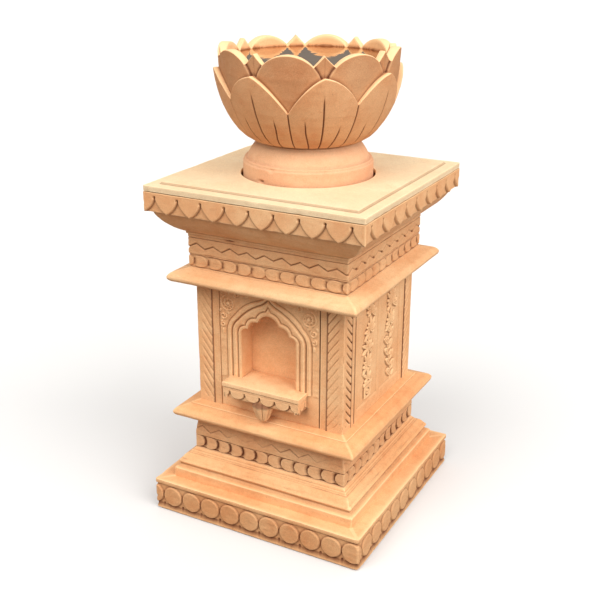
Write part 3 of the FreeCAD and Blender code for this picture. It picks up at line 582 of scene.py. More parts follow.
def slab(left, right, low, high, front, back, relief, step=1.15, joint=2.4, shade=0.8, pale=0.6, depth=2.2):
    """A flat stone with a carved front and sunk side joints, in the frame of the front face, with painted
    shade in the carving's hollows and painted highlight on its ridges.
    """
    across = np.linspace(left, right, int(round((right - left) / step)) + 1)
    up = np.linspace(low, high, int(round((high - low) / step)) + 1)
    across, up = np.meshgrid(across, up)
    height = relief(across, up)
    seam = min(1.0, joint) * (1 - smooth(np.minimum(across - left, right - across) / 2.0))
    ends = 1 - smooth(np.minimum(up - low, high - up) / 1.6)
    # painted shade in the carving's hollows; dark side joints
    cavity = np.maximum(shade * hollows(height, 3, 3, depth), seam)
    # painted highlight on the carving's ridges
    edge = pale * ridges(height, 3, 3, 0.8 * depth) * (1 - cavity)
    height = height - joint * seam - 0.6 * ends
    grid = np.stack([across, -(front + height), up], axis=-1)
    rows, columns = across.shape
    points = np.concatenate([grid.reshape(-1, 3), [[left, -back, low], [right, -back, low],
                                                   [right, -back, high], [left, -back, high]]])
    faces = grid_faces(rows, columns, False)
    base = rows * columns
    foot = list(range(columns))
    head = list(range((rows - 1) * columns, rows * columns))
    first = list(range(0, base, columns))
    last = list(range(columns - 1, base, columns))
    faces.append(foot[::-1] + [base, base + 1])
    faces.append(head + [base + 2, base + 3])
    faces.append(first + [base + 3, base])
    faces.append(last[::-1] + [base + 1, base + 2])
    faces.append([base, base + 3, base + 2, base + 1])
    fields = {"cavity": np.append(cavity.ravel(), [0] * 4), "edge": np.append(edge.ravel(), [0] * 4)}
    return points, faces, fields


# Plinth: sunk band and a row of round discs
DISCS = 11
DISC_PITCH = 44.2
DISC_RADIUS = 21.4
DISC_LEVEL = 33.5
FIRST_DISC = -229.4
BAND_FOOT = 9.0
BAND_TOP = 58.1


def plinth_relief(face, across, up):
    band = smooth((up - BAND_FOOT) / 1.5) * smooth((BAND_TOP - up) / 1.2)
    standing = np.zeros_like(across)
    pits = np.zeros_like(across)
    for index in range(DISCS):
        label = index + 17 * face
        middle = FIRST_DISC + DISC_PITCH * index + 0.7 * jitter(label, 3)
        radius = DISC_RADIUS + 0.35 * jitter(label, 4)
        away = np.hypot(across - middle, up - DISC_LEVEL - 0.5 * jitter(label, 5))
        standing = np.maximum(standing, 1.0 - smooth((away - radius + 2.0) / 2.4))
        between = np.hypot((across - middle - DISC_PITCH / 2) / 2.8, (up - 13.6) / 3.2)
        pits = np.maximum(pits, (0.7 + 0.3 * jitter(label, 6)) * smooth(1.3 - between))
    height = -3.6 * band * (1.0 - standing) - 2.6 * pits + groove(up - BAND_TOP + 0.2, 1.2, 1.6)
    return height + 0.6 * band * dressed(across, up, 230 + face)


def make_plinth():
    rows = profile([(222.4, 0), (PLINTH_HALF, 2.6), (PLINTH_HALF, PLINTH_TOP), (188, PLINTH_TOP)],
                   bands=((6.5, 60.0),), fine=1.3)
    # painted shade in the plinth's hollows and on its upright faces
    make_course("Plinth", "plinth_slab", rows, 11, plinth_relief, material=WARM_STONE, step=1.3, corner=3.6,
                chips=1.6, shade=0.65, dust=0.27)


def base_relief(face, across, up):
    """A roll above a cove, and two lines below the frieze."""
    roll = 2.5 * np.exp(-((up - 100.5) / 3.2) ** 2)
    cove = 2.6 * np.exp(-((up - 92.5) / 2.8) ** 2)
    return roll - cove + groove(up - 115.4, 1.8, 1.4) + groove(up - 121.0, 1.4, 1.2)


def make_base_moulding():
    rows = profile([(197, PLINTH_TOP), (197, 85.6), (195.6, 87.0), (191.6, 88.2, 0.14), (188.8, 97.5, -0.11),
                    (172.8, 117.0), (171.6, 117.2), (170.9, 119.4), (165.0, BASE_TOP), (158, BASE_TOP)],
                   spacing=1.5, soften=0.5)
    make_course("BaseMoulding", "base_moulding", rows, 21, base_relief, material=WARM_STONE, chips=1.1,
                shade=0.9, marks=0.6)


# Friezes
COINS = 6


def coin_row(across, up, pitch, middle, half_width, half_height, power, drop, fade):
    """Coins that overlap towards the middle of the face; each dips where the one before it covers it."""
    side = -np.abs(across)
    rounds = []
    for index in range(COINS):
        edge = -pitch * (COINS - 1 - index)
        reach = (np.abs((side - (edge - half_width)) / half_width) ** power
                 + np.abs((up - middle) / half_height) ** power) ** (1.0 / power)
        rounds.append((reach - 1.0) * half_height)
    height = np.full(across.shape, -0.62 * drop)
    for index in range(COINS - 1, -1, -1):
        surface = np.zeros(across.shape)
        if index > 0:
            gap = rounds[index - 1]
            surface = -drop * (1.0 - smooth(gap / fade)) * (gap > 0)
        surface = np.maximum(surface, -0.9 * drop)
        blend = smooth(0.5 - rounds[index] / 1.6)
        height = height * (1 - blend) + surface * blend
    return height


def scored(across, up, level, half, depth, swing=0.0, length=1.0, lag=0.0):
    """A line cut along a face, which may waver."""
    return groove(up - level - swing * np.sin(across / length + lag), half, depth)


def dressed(across, up, seed):
    """The uneven face that a flat chisel leaves."""
    spots = np.stack([across.ravel() * 0.35, up.ravel(), np.full(across.size, 40.0 * seed)], axis=1)
    return (0.35 * noise(spots, 5.0, seed) + 0.2 * noise(spots, 2.4, seed + 1)).reshape(across.shape)


def lower_frieze_relief(face, across, up):
    coins = coin_row(across + 0.8 * jitter(face, 6), up, pitch=29.0, middle=140.6, half_width=17.0,
                     half_height=13.0, power=2.2, drop=5.2, fade=8.0)
    height = np.where((up > 127.0) & (up < 154.2), coins, 0.0)
    height = height + scored(across, up, 153.9, 1.1, 1.3, swing=0.4, length=23.0)
    height = height + scored(across, up, 126.6, 1.0, 0.7)
    phase = (across + 9.0 * face + 11.0) / 39.5
    wave = 2.0 * np.abs(phase - np.floor(phase) - 0.5)
    zigzag = 163.6 + 11.0 * (1.0 - wave)
    away = (up - zigzag) * math.cos(math.radians(29))
    strength = 0.55 + 0.45 * np.sin(across / 31.0 + 2.0 * face)
    height = height + groove(away, 2.4, 1.6) * np.clip(strength, 0.15, 1.0) * (up < 182)
    height = height + scored(across, up, 186.0, 1.4, 0.5, swing=0.8, length=40.0)
    return height + dressed(across, up, 240 + face)


def upper_frieze_relief(face, across, up):
    coins = coin_row(across, up, pitch=30.8, middle=520.6, half_width=16.0, half_height=10.6, power=2.3,
                     drop=3.6, fade=7.0)
    height = np.where((up > 508.6) & (up < 533.2), coins, 0.0)
    height = height + scored(across, up, 534.9, 1.3, 1.7, swing=0.35, length=19.0, lag=face)
    height = height + scored(across, up, 507.8, 1.1, 0.9)
    height = height + scored(across, up, 565.6, 1.3, 1.8, swing=0.3, length=27.0)
    pitch = 36.1
    shift = 146.3
    phase = (across + shift) / pitch
    wave = 2.0 * np.abs(phase - np.floor(phase + 0.5))
    zigzag = 554.2 - 8.4 * wave + 1.1 * np.sin(across / 13.7 + 2.0 * face)
    height = height + groove((up - zigzag) * 0.9, 2.5, 2.6 if face % 2 == 0 else 1.4)
    if face % 2:
        nearest = (np.floor(phase) + 0.5) * pitch - shift
        side = np.abs(across - nearest)
        pit = smooth(1.0 - (side / 6.0 + np.abs(up - 546.5 + 0.4 * (across - nearest)) / 3.6 - 0.35) / 0.8)
        height = height - 5.0 * pit
    if face == 0:
        chip = smooth(1.2 - np.hypot((across + 74.0) / 12.0, (up - 573.5) / 6.0))
        height = height - 6.5 * chip
    return height + dressed(across, up, 250 + face)


def make_friezes():
    rows = profile([(FRIEZE_HALF, BASE_TOP), (FRIEZE_HALF, 161.8), (157.5, LOWER_FRIEZE_TOP)],
                   bands=((120.0, 190.0),), soften=1.2, spacing=4.0)
    # painted shade in the frieze's hollows, deep recesses and upright faces
    make_course("LowerFrieze", "lower_frieze", rows, 31, lower_frieze_relief, step=1.15, corner=2.0,
                shade=0.8, sunk=0.3, dust=0.24, marks=0.2)
    rows = profile([(FRIEZE_HALF, UPPER_FRIEZE_FOOT), (FRIEZE_HALF, SOFFIT_FOOT)], bands=((500.0, 574.0),),
                   soften=0.6)
    # painted shade in the frieze's hollows, deep recesses and upright faces
    make_course("UpperFrieze", "upper_frieze", rows, 41, upper_frieze_relief, step=1.15, corner=2.0,
                sunk=0.32, dust=0.2, marks=0.2)


# Cornices
def bull_nose(foot):
    """A cornice's profile from its underside round the nose to its sloping top."""
    return [(150, foot), (187.5, foot, -0.2), (CORNICE_HALF, foot + 9.5, -0.14), (183.5, foot + 19)]


def make_cornices():
    top = [(169.5, 225.2), (169.5, 226.5), (SHAFT_HALF, SHAFT_FOOT), (150, SHAFT_FOOT)]
    rows = profile(bull_nose(LOWER_FRIEZE_TOP) + top, spacing=1.6, soften=0.6)
    make_course("LowerCornice", "lower_cornice", rows, 51, slot="pale_sandstone", material=WARM_STONE,
                corner=2.2, chips=1.0, marks=0.5)
    top = [(163.5, UPPER_FRIEZE_FOOT), (158, UPPER_FRIEZE_FOOT)]
    rows = profile(bull_nose(SHAFT_TOP) + top, spacing=1.6, soften=0.6)
    make_course("UpperCornice", "upper_cornice", rows, 61, slot="pale_sandstone", corner=2.2, chips=1.0,
                marks=0.4)


# Shaft: posts with herringbone cuts
def ring_of(corners, steps):
    """Points round a closed outline with their normals, run numbers and distances from each run's start."""
    places, normals, runs, along = [], [], [], []
    count = len(corners)
    for index in range(count):
        start = np.array(corners[index], float)
        run = np.array(corners[(index + 1) % count], float) - start
        length = math.hypot(*run)
        number = max(1, int(round(length / steps[index])))
        share = np.arange(number) / number
        places.append(start + share[:, None] * run)
        normal = np.array([run[1], -run[0]]) / length
        block = np.repeat(normal[None, :], number, axis=0)
        normals.append(block)
        runs += [index] * number
        along.append(share * length)
    normals_all = np.concatenate(normals)
    first = 0
    for index in range(count):
        before = normals_all[first - 1]
        mean = before + normals[index][0]
        normals_all[first] = mean / max(mean @ mean / 2.0, 0.3)
        first += len(normals[index])
    return np.concatenate(places), normals_all, np.array(runs), np.concatenate(along)


def herringbone(away, up, right, seed):
    """Slanting cuts that fall away from the corner edge, deeper by the strip on the side that faces right."""
    slope = np.where(right, math.radians(45), math.radians(54))
    pitch = np.where(right, 16.4, 18.4)
    phase = (up + away * np.tan(slope) + 0.5 * np.sin(up / 37.0 + seed)) / pitch
    gap = (phase - np.floor(phase) - 0.5) * pitch * np.cos(slope)
    ends = smooth((up - 238.0) / 4.0) * smooth((476.0 - up) / 4.0)
    keep = smooth((away - np.where(right, 1.5, 6.0)) / np.where(right, 4.0, 9.0))
    keep = keep * smooth((34.2 - away) / 1.6)
    notch = smooth((away - 9.0) / 10.0)
    deep = np.where(right, 0.6 + 3.2 * notch, 2.0 + 0.6 * np.sin(up / 61.0 + seed))
    return groove(gap, np.where(right, 1.4 + 0.7 * notch, 2.2), 1.0) * deep * ends * keep


def make_posts():
    strip = 120.5
    face = SHAFT_HALF - 1.5
    corners = [(PANEL_HALF, -face), (strip, -face), (strip, -SHAFT_HALF), (SHAFT_HALF, -SHAFT_HALF),
               (SHAFT_HALF, -strip), (face, -strip), (face, -PANEL_HALF), (PANEL_HALF, -PANEL_HALF)]
    places, normals, runs, along = ring_of(corners, (1.4, 0.8, 1.15, 1.15, 0.8, 1.4, 8.0, 8.0))
    levels = np.linspace(SHAFT_FOOT, SHAFT_TOP, 212)
    for label, turns in (("front_right", 0), ("back_right", 1), ("back_left", 2), ("front_left", 3)):
        up = np.broadcast_to(levels[:, None], (len(levels), len(places)))
        away = np.where(runs == 2, 35.0 - along, np.where(runs == 3, along, -1.0))
        sidelong = (runs == (2 if turns % 2 else 3))[None, :]
        height = np.where(away >= 0, herringbone(np.maximum(away, 0)[None, :], up, sidelong, turns), 0.0)
        strips = np.where((runs == 0), along, np.where(runs == 5, 14.0 - along, -1.0))[None, :]
        seam = np.where(strips >= 0, 1 - smooth(strips / 1.8), 0.0)
        height = height - 2.4 * seam
        height = height + np.where(strips >= 0, groove(strips - 4.2, 0.8, 0.5), 0.0)
        edge = np.broadcast_to(np.where(away >= 0, 1 - smooth(np.maximum(away, 0) / 1.6), 0.0), up.shape)
        bumps = noise(np.outer(up.ravel(), (0, 0, 1)), 9.0, 70 + turns).reshape(up.shape)
        height = height - edge * (0.45 + 0.8 * smooth((bumps - 0.3) / 0.4))
        # painted shade in the herringbone cuts, stronger on the side face, and at the step between the cut
        # field and the strips; dark joints by the strips
        cavity = np.where(sidelong, 0.95, 0.6) * hollows(height, 3, 2, 1.6)
        cavity = np.maximum(cavity, np.where((runs == 1) | (runs == 4) | (away > 32.6), 0.7, 0.0))
        cavity = np.maximum(cavity, seam)
        spots = places[None, :, :] + normals[None, :, :] * height[..., None]
        points = quarter(np.concatenate([spots, up[..., None]], axis=-1), turns).reshape(-1, 3)
        # painted highlight on the corner edge and on the ridges between cuts
        light = np.maximum(edge * 0.8, 0.8 * ridges(height, 3, 2, 1.2)) * (1 - cavity)
        post = capped(points, *up.shape, cavity=cavity.ravel(), edge=light.ravel())
        piece("CornerPost_" + label, post, ("corner_post_" + label,), 71 + turns)


# Niche
def mirrored(half):
    """A run of corners followed by its mirror image, with the arcs kept."""
    left = []
    for index in range(len(half) - 1, -1, -1):
        corner = (-half[index][0], half[index][1])
        if index > 0 and len(half[index - 1]) == 3:
            corner = corner + (half[index - 1][2],)
        left.append(corner)
    return list(half) + left


def arch_line(foot, corners, peak):
    """A pointed arch: the right half from its foot to the last corner, the apex, and the left half."""
    half = mirrored([(corners[0][0], foot)] + corners)
    middle = len(half) // 2
    apex = (0, peak) + corners[-1][2:]
    return traced(half[:middle] + [apex] + half[middle:], 1.0, closed=True)


def niche_outline(foot):
    return arch_line(foot, [(58, NICHE_SPRING, -0.24), (44, 402, -0.24), (23, 418, -0.16)], 435)


def petal(across, up, middle, angle, near, far, wide, soft=1.3):
    """A leaf shape that points away from a middle, as a height from 0 to 1."""
    out = (across - middle[0]) * math.cos(angle) + (up - middle[1]) * math.sin(angle)
    side = np.abs(-(across - middle[0]) * math.sin(angle) + (up - middle[1]) * math.cos(angle))
    share = np.clip((out - near) / (far - near), 0.0, 1.0)
    edge = wide * np.sqrt(np.maximum(share * (1.0 - share), 0.0)) * 2.0
    body = smooth((edge - side) / soft) * (edge > 0.2)
    return body * (1.0 - 0.4 * np.exp(-(side / 0.8) ** 2))


def coil(across, up, middle, radius, turns, start, half):
    """A ridge that winds in towards a middle, as a height from 0 to 1."""
    share = np.linspace(0.0, 1.0, 36)
    angle = start + turns * 2.0 * math.pi * share
    reach = radius * (1.0 - 0.7 * share)
    line = np.stack([middle[0] + reach * np.cos(angle), middle[1] + reach * np.sin(angle)], axis=1)
    return 1.0 - smooth(distance(across, up, line) / half)


def corner_ornament(across, up):
    """A coiled flower in the corner above the arch, with curled leaves below and beside it."""
    side = np.abs(across) + 0.9 * np.sign(across)
    flower = (85, 445)
    boss = 1.0 - smooth((np.hypot(side - flower[0], up - flower[1]) - 2.6) / 1.8)
    raised = np.maximum(boss, coil(side, up, flower, 16.5, -1.6, 1.25, 1.9))
    for index in range(9):
        leaf = petal(side, up, flower, index * math.pi / 4.5, 4.5, 12.0, 2.7, 1.6)
        raised = np.maximum(raised, 0.7 * leaf)
    for middle, radius, turns, start in (((95.5, 419), 7.2, 1.2, 2.4), ((96.5, 402), 5.6, -1.15, 1.3),
                                         ((66.0, 464), 6.4, 1.1, 4.2)):
        raised = np.maximum(raised, 0.9 * coil(side, up, middle, radius, turns, start, 2.1))
    for middle, angle, far, wide in (((92, 430), -2.7, 12, 3.4), ((100, 432), -0.9, 9, 3.0),
                                     ((96, 395), -1.5, 13, 3.2), ((72, 458), 2.0, 13, 3.4),
                                     ((98, 463), 1.3, 12, 3.4), ((84, 463), 1.9, 11, 3.0),
                                     ((52, 461), 2.6, 15, 3.2)):
        raised = np.maximum(raised, 0.85 * petal(side, up, middle, angle, 0.0, far, wide, 1.7))
    return raised


def front_relief(across, up):
    """Three lines round the niche with raised mouldings between them, and flowers in the corners."""
    foot = SHELF_FOOT - 200
    first = [(66, 390, -0.2), (49.5, 407.5, -0.2), (27, 425.5, -0.14), (6, 442.5)]
    second = [(78.5, 388, -0.12), (66, 415.5, -0.055), (20, 451.5, 0.06)]
    third = [(90.5, 384, -0.12), (73, 423.5, -0.085), (25, 460, 0.04)]
    arch = signed(across, up, niche_outline(foot))
    first, second, third = (signed(across, up, arch_line(foot, corners, peak))
                            for corners, peak in ((first, 452), (second, 466.5), (third, 474)))
    height = 0.8 * np.exp(-((arch - 3.8) / 2.6) ** 2) + groove(first, 2.2, 2.6)
    height = height + 1.8 * smooth(np.minimum(first, -second) / 5.5) + groove(second, 2.6, 3.4)
    height = height - 0.4 * smooth(second / 1.2) + 1.6 * smooth(np.minimum(second, -third) / 5.0)
    height = height - 1.0 * smooth(third / 1.8) + groove(third, 2.2, 2.6)
    height = height + 3.0 * corner_ornament(across, up) * smooth((third - 1.5) / 1.8)
    height = height + 0.8 * dressed(across, up, 260)
    below = smooth((SHELF_FOOT + 4.0 - up) / 2.0)
    return height * (1 - below) - 2.4 * below


def niche_cutter():
    """A solid of the niche's opening, to be taken out of the front panel."""
    line = niche_outline(SHELF_FOOT)
    work = bmesh.new()
    ahead, behind = -0.175, -0.105        # metres, in front of the panel and behind it
    front = [work.verts.new((across * MM, ahead, up * MM)) for across, up in line]
    back = [work.verts.new((across * MM, behind, up * MM)) for across, up in line]
    work.faces.new(front)
    work.faces.new(back[::-1])
    for index in range(len(line)):
        following = (index + 1) % len(line)
        work.faces.new((front[following], front[index], back[index], back[following]))
    bmesh.ops.recalc_face_normals(work, faces=work.faces)
    mesh = bpy.data.meshes.new("NicheCutter")
    work.to_mesh(mesh)
    work.free()
    cutter = bpy.data.objects.new("NicheCutter", mesh)
    bpy.context.scene.collection.objects.link(cutter)
    return cutter


def applied(thing):
    """Replace a piece's mesh with what its modifiers make of it."""
    graph = bpy.context.evaluated_depsgraph_get()
    made = bpy.data.meshes.new_from_object(thing.evaluated_get(graph))
    thing.modifiers.clear()
    old = thing.data
    thing.data = made
    bpy.data.meshes.remove(old)


def make_front_panel():
    points, faces, fields = slab(-PANEL_HALF, PANEL_HALF, SHAFT_FOOT, SHAFT_TOP, SHAFT_HALF, PANEL_BACK,
                                 front_relief, shade=0.58, pale=0.9, depth=1.8)
    across, up = points[:, 0], points[:, 2]
    # painted shade on the panel under the shelf's bracket
    below = smooth((up - 236.0) / 34.0) * smooth((270.0 - up) / 3.0) * smooth((90.0 - np.abs(across)) / 12.0)
    fields["cavity"] = np.maximum(fields["cavity"], 0.62 * below)
    panel = piece("FrontPanel", (points, faces, fields), ("front_panel",), 81, amount=0.7)
    cutter = niche_cutter()
    cut = panel.modifiers.new("Niche", "BOOLEAN")
    cut.operation = "DIFFERENCE"
    cut.solver = "EXACT"
    cut.object = cutter
    bpy.context.view_layer.update()
    applied(panel)
    mesh = cutter.data
    bpy.data.objects.remove(cutter)
    bpy.data.meshes.remove(mesh)
    panel.data.set_sharp_from_angle(angle=math.radians(SHARP_ANGLE))


def plain_relief(across, up):
    spots = np.stack([across.ravel(), np.zeros(across.size), up.ravel()], axis=1)
    return (0.4 * noise(spots, 34.0, 91) + 0.15 * noise(spots, 9.0, 92)).reshape(across.shape)


def make_niche_back():
    back = slab(-76, 76, SHAFT_FOOT, 453, PANEL_BACK - 0.5, 95.5, plain_relief, step=3.5)
    piece("NicheBack", back, ("niche_back",), 91, amount=0.6)


# Side panels with plants in low relief
def stem(across, up, corners, half):
    return 1.0 - smooth(distance(across, up, traced(corners, 2.0)) / half)


def sprays(across, up, middle, fans):
    """Fans of pointed leaves, each given by offset, level, count, length, half width and lean."""
    raised = np.zeros_like(across)
    for offset, level, count, far, wide, lean in fans:
        for index in range(count):
            angle = lean + math.radians(240.0 * index / (count - 1) - 30.0)
            reach = far * (0.78 + 0.22 * math.sin(5.1 * index + far))
            leaf = petal(across, up, (middle + offset, level), angle, 0.5, reach, wide, 1.4)
            raised = np.maximum(raised, leaf)
    return raised


def potted_plant(across, up, middle):
    """A leafy plant in a square pot with a curl on it."""
    side = np.abs(across - middle)
    pot = smooth((15.0 - side) / 1.8) * smooth((up - 262.0) / 1.8) * smooth((290.0 - up) / 1.8)
    pot = pot * (1 - 0.9 * coil(across, up, (middle + 1, 276), 10.0, 1.3, 2.2, 2.0))
    rim = smooth((18.5 - side) / 1.8) * smooth((up - 289.0) / 1.4) * smooth((296.5 - up) / 1.6)
    stalk = 0.8 * stem(across, up, [(middle, 296), (middle - 3, 340), (middle + 8, 440)], 2.0)
    fans = ((0, 304, 5, 23, 4.0, 0.0), (-3, 332, 8, 30, 4.3, 0.15), (-1, 367, 7, 27, 4.2, -0.2),
            (5, 400, 8, 29, 4.3, 0.1), (9, 436, 9, 27, 4.0, -0.1))
    return np.maximum(np.maximum(pot, rim), np.maximum(stalk, sprays(across, up, middle, fans)))


def climbing_plant(across, up, middle):
    """A waving stem with a flower at its head and leaves on both sides."""
    path = [(middle + 7.0 * math.sin(level / 19.0), level) for level in range(258, 426, 6)]
    height = 0.8 * stem(across, up, path, 2.0)
    for index, level in enumerate(range(264, 372, 12)):
        centre = (middle + 7.0 * math.sin(level / 19.0), level)
        for sign, far, wide in ((1 if index % 2 else -1, 26, 5.2), (-1 if index % 2 else 1, 18, 4.4)):
            tilt = math.radians(90 - (48 if far > 20 else 70) * sign)
            height = np.maximum(height, petal(across, up, centre, tilt, 1.0, far, wide, 1.5))
    fans = ((-2, 382, 8, 30, 4.4, 0.1), (3, 422, 10, 33, 4.6, 0.0), (2, 438, 7, 22, 3.8, 0.2))
    return np.maximum(height, sprays(across, up, middle, fans))


def side_relief(flip):
    """Two sunk fields with a plant in each, which a flip sets the other way round."""
    def relief(across, up):
        across = across * (-1.0 if flip else 1.0)
        height = np.zeros_like(across)
        for left, right in ((-97.5, -4.5), (4.5, 97.5)):
            margin = np.minimum(np.minimum(across - left, right - across), np.minimum(up - 254.5, 473.0 - up))
            height = height - 1.7 * smooth(margin / 2.2)
            height = height + groove(margin + 0.4, 1.2, 0.7) * (margin > -3)
        spots = np.stack([across.ravel(), np.zeros(across.size), up.ravel()], axis=1)
        height = height + 0.3 * noise(spots, 14.0, 95).reshape(across.shape)
        raised = np.maximum(potted_plant(across, up, -51.0), climbing_plant(across, up, 51.0))
        return height + 3.2 * raised
    return relief


def make_side_panels():
    for node, name, turns, flip in (("right_panel", "RightPanel", 1, False),
                                    ("back_panel", "BackPanel", 2, True),
                                    ("left_panel", "LeftPanel", 3, True)):
        points, faces, fields = slab(-PANEL_HALF, PANEL_HALF, SHAFT_FOOT, SHAFT_TOP, SHAFT_HALF, PANEL_BACK,
                                     side_relief(flip), step=1.2, joint=1.3, shade=0.9, pale=1.0, depth=1.5)
        piece(name, (quarter(points, turns), faces, fields), (node,), 100 + turns, amount=0.7)


# Shelf, bracket and bud
def prism(outline, steps, levels):
    """An outline in plan carried through levels of inset and height, with caps."""
    places, normals = ring_of(outline, steps)[:2]
    rows = []
    for inset, level in levels:
        rows.append(np.column_stack([places - normals * inset, np.full(len(places), float(level))]))
    ring = len(places)
    faces = grid_faces(len(levels), ring, True)
    faces.append(list(range(ring))[::-1])
    faces.append(list(range((len(levels) - 1) * ring, len(levels) * ring)))
    return np.concatenate(rows), faces


def make_shelf():
    half, tongue = 82, 57.7
    right = [(half, -SHAFT_HALF), (tongue, -SHAFT_HALF), (tongue, -PANEL_BACK)]
    outline = [(-half, -190), (half, -190)] + right + [(-across, along) for across, along in right[::-1]]
    levels = [(1.8, SHELF_FOOT), (1.4, 290.7), (0.0, 291.0), (0.0, 297.6), (0.3, 298.7), (1.4, SHELF_TOP)]
    points, faces = prism(outline, (4,) * len(outline), levels)
    # dark joint along the shelf's foot; painted highlight on its top edge
    fields = {"cavity": points[:, 2] < 290.95, "edge": 0.9 * (points[:, 2] > 298.5) * (points[:, 2] < 299.3)}
    piece("NicheShelf", (points, faces, fields), ("niche_shelf",), 111, slot="pale_sandstone")


def joined(parts):
    """Several closed meshes with their shading as one."""
    points, faces, fields, base = [], [], {"cavity": [], "edge": []}, 0
    for some, some_faces, some_fields in parts:
        points.append(some)
        faces += [[index + base for index in face] for face in some_faces]
        for key, rows in fields.items():
            rows.append(some_fields[key])
        base += len(some)
    return np.concatenate(points), faces, {key: np.concatenate(rows) for key, rows in fields.items()}


def hanging_lobes(first, pitch, count, cusp=SHELF_FOOT - 7.0, tip=SHELF_FOOT - 20.5):
    """Round lobes that hang in a row from a band, proud of the stone behind them."""
    line = [(first, cusp)]
    for index in range(count):
        middle = first + pitch * (index + 0.5)
        line += [(middle - 0.46 * pitch, cusp, -0.24), (middle, tip, -0.24), (middle + 0.46 * pitch, cusp)]
    line += [(first + pitch * count, SHELF_FOOT + 9.0), (first, SHELF_FOOT + 9.0)]
    outline = traced(line, 1.2, closed=True)

    def relief(across, up):
        gap = signed(across, up, outline)
        line = groove(up - SHELF_FOOT + 4.0, 1.0, 0.8)
        return -4.2 * smooth(0.5 + gap / 1.6) + line + 0.5 * dressed(across, up, 270)
    return relief


def make_bracket():
    half = 80.5
    front = 188.5
    foot = SHELF_FOOT - 23.5
    head = SHELF_FOOT - 0.9
    pitch = half * 2 / 5
    inner = half - 1
    core = [(-inner, -front + 6), (inner, -front + 6), (inner, -SHAFT_HALF), (-inner, -SHAFT_HALF)]
    points, faces = prism(core, (6, 6, 6, 6), [(0.0, foot + 1.0), (0.0, 289.3), (0.6, 290.0)])
    # painted shade: the core behind the lobes is darker all over, and the lobes carry painted shade round
    # their outlines
    parts = [(points, faces, {"cavity": np.full(len(points), 0.5), "edge": np.zeros(len(points))})]
    lobes = hanging_lobes(-half - pitch / 2 - 2, pitch, 7)
    parts.append(slab(-half, half, foot, head, front, front - 8, lobes, joint=0.0, shade=1.0, depth=1.7))
    for turns, left, right in ((1, -front, -SHAFT_HALF), (3, SHAFT_HALF, front)):
        lobes = hanging_lobes(left - 9.0, 17.0, 3)
        points, faces, fields = slab(left, right, foot, head, half, half - 8, lobes, joint=0.0, shade=1.0,
                                     depth=1.7)
        parts.append((quarter(points, turns), faces, fields))
    piece("ShelfBracket", joined(parts), ("shelf_bracket",), 121, sharp=45, amount=0.8)


def bearings(columns):
    return np.arange(columns) * 2 * math.pi / columns


def lathe(rows, columns, radius_at=None):
    """A turned form about the upright axis whose radius may change round the ring."""
    angle = bearings(columns)
    radius = np.broadcast_to(rows[:, 0][:, None], (len(rows), columns)).copy()
    level = np.broadcast_to(rows[:, 1][:, None], radius.shape)
    if radius_at is not None:
        radius = radius_at(angle[None, :] + 0 * radius, level, radius)
    return np.stack([radius * np.cos(angle), radius * np.sin(angle), level], axis=-1)


def make_pendant():
    columns = 160
    rows = profile([(2.0, 232.6), (8.0, 233.2), (9.6, 235.5, -0.05), (15.2, 248.0, -0.04), (20.3, 264.0),
                    (20.5, 267.0), (16.8, 270.0), (15.0, 271.5)], spacing=1.4, soften=0.8)

    def ribbed(angle, level, radius):
        cut = 1.0 - smooth(np.abs(np.cos(angle * 4.0)) / 0.4)
        return radius * (1.0 - 0.13 * cut * smooth((radius - 3.0) / 8.0) + 0.03 * np.cos(angle * 8.0))

    points = lathe(rows, columns, ribbed).reshape(-1, 3)
    radius = np.hypot(points[:, 0], points[:, 1])
    widest = np.repeat(rows[:, 0], columns)
    # painted shade in the grooves between the bud's lobes and at its top, under the bracket
    cavity = 0.75 * np.clip((widest - radius) / (0.16 * widest + 0.2), 0, 1) ** 3
    cavity = np.maximum(cavity, 0.8 * smooth((points[:, 2] - 258.0) / 11.0))
    points = points - np.array([0.0, SHAFT_HALF + 21.0, 0.0])
    bud = capped(points, len(rows), columns, cavity=cavity)
    piece("ShelfPendant", bud, ("shelf_pendant",), 131, amount=0.6)


# Head: soffit, fringe and top slab
def make_soffit():
    rows = profile([(160, SOFFIT_FOOT), (166.9, SOFFIT_FOOT), (166.9, 577.5, -0.09), (208, 617.8),
                    (208, FRINGE_FOOT), (200, FRINGE_FOOT)], spacing=1.8, soften=0.7)
    make_course("SoffitMoulding", "soffit_moulding", rows, 141, step=3.2, chips=0.7, marks=0.35)


def fringe_relief(face, across, up):
    """Round tongues that hang side by side, with a drilled hole between two of them."""
    pitch = 2 * FRINGE_HALF / 9
    phase = (across + FRINGE_HALF) / pitch
    index = np.floor(phase)
    away = (phase - index - 0.5) * pitch
    label = (index + 13 * face).astype(np.int64)
    away = away + 0.7 * jitter(label, 8)
    half = 22.2
    neck = 1.7
    foot = FRINGE_FOOT
    bend = foot + 23.5
    head = foot + 28.5
    right = [(half, foot - 6), (half, foot, 0.09), (neck, bend), (neck, head, -0.45)]
    outline = traced(mirrored(right), 1.0, closed=True)
    gap = signed(away, up, outline)
    depth = 4.8 * smooth(0.5 - gap / 2.4)
    hole = 3.0 * smooth(1.3 - np.hypot(away, up - foot - 27.5) / 2.4)
    soft = 0.35 * smooth(1.0 - np.abs(gap - 1.2) / 1.6)
    return -depth - hole - soft


def make_fringe():
    rows = profile([(198, FRINGE_FOOT), (FRINGE_HALF, FRINGE_FOOT), (FRINGE_HALF, SLAB_FOOT),
                    (214, SLAB_FOOT)], bands=((621.4, 657.0),), soften=0.5)
    make_course("PetalFringe", "petal_fringe", rows, 151, fringe_relief, step=1.25, chips=0.9, shade=0.7,
                sunk=0.12, marks=0.12)


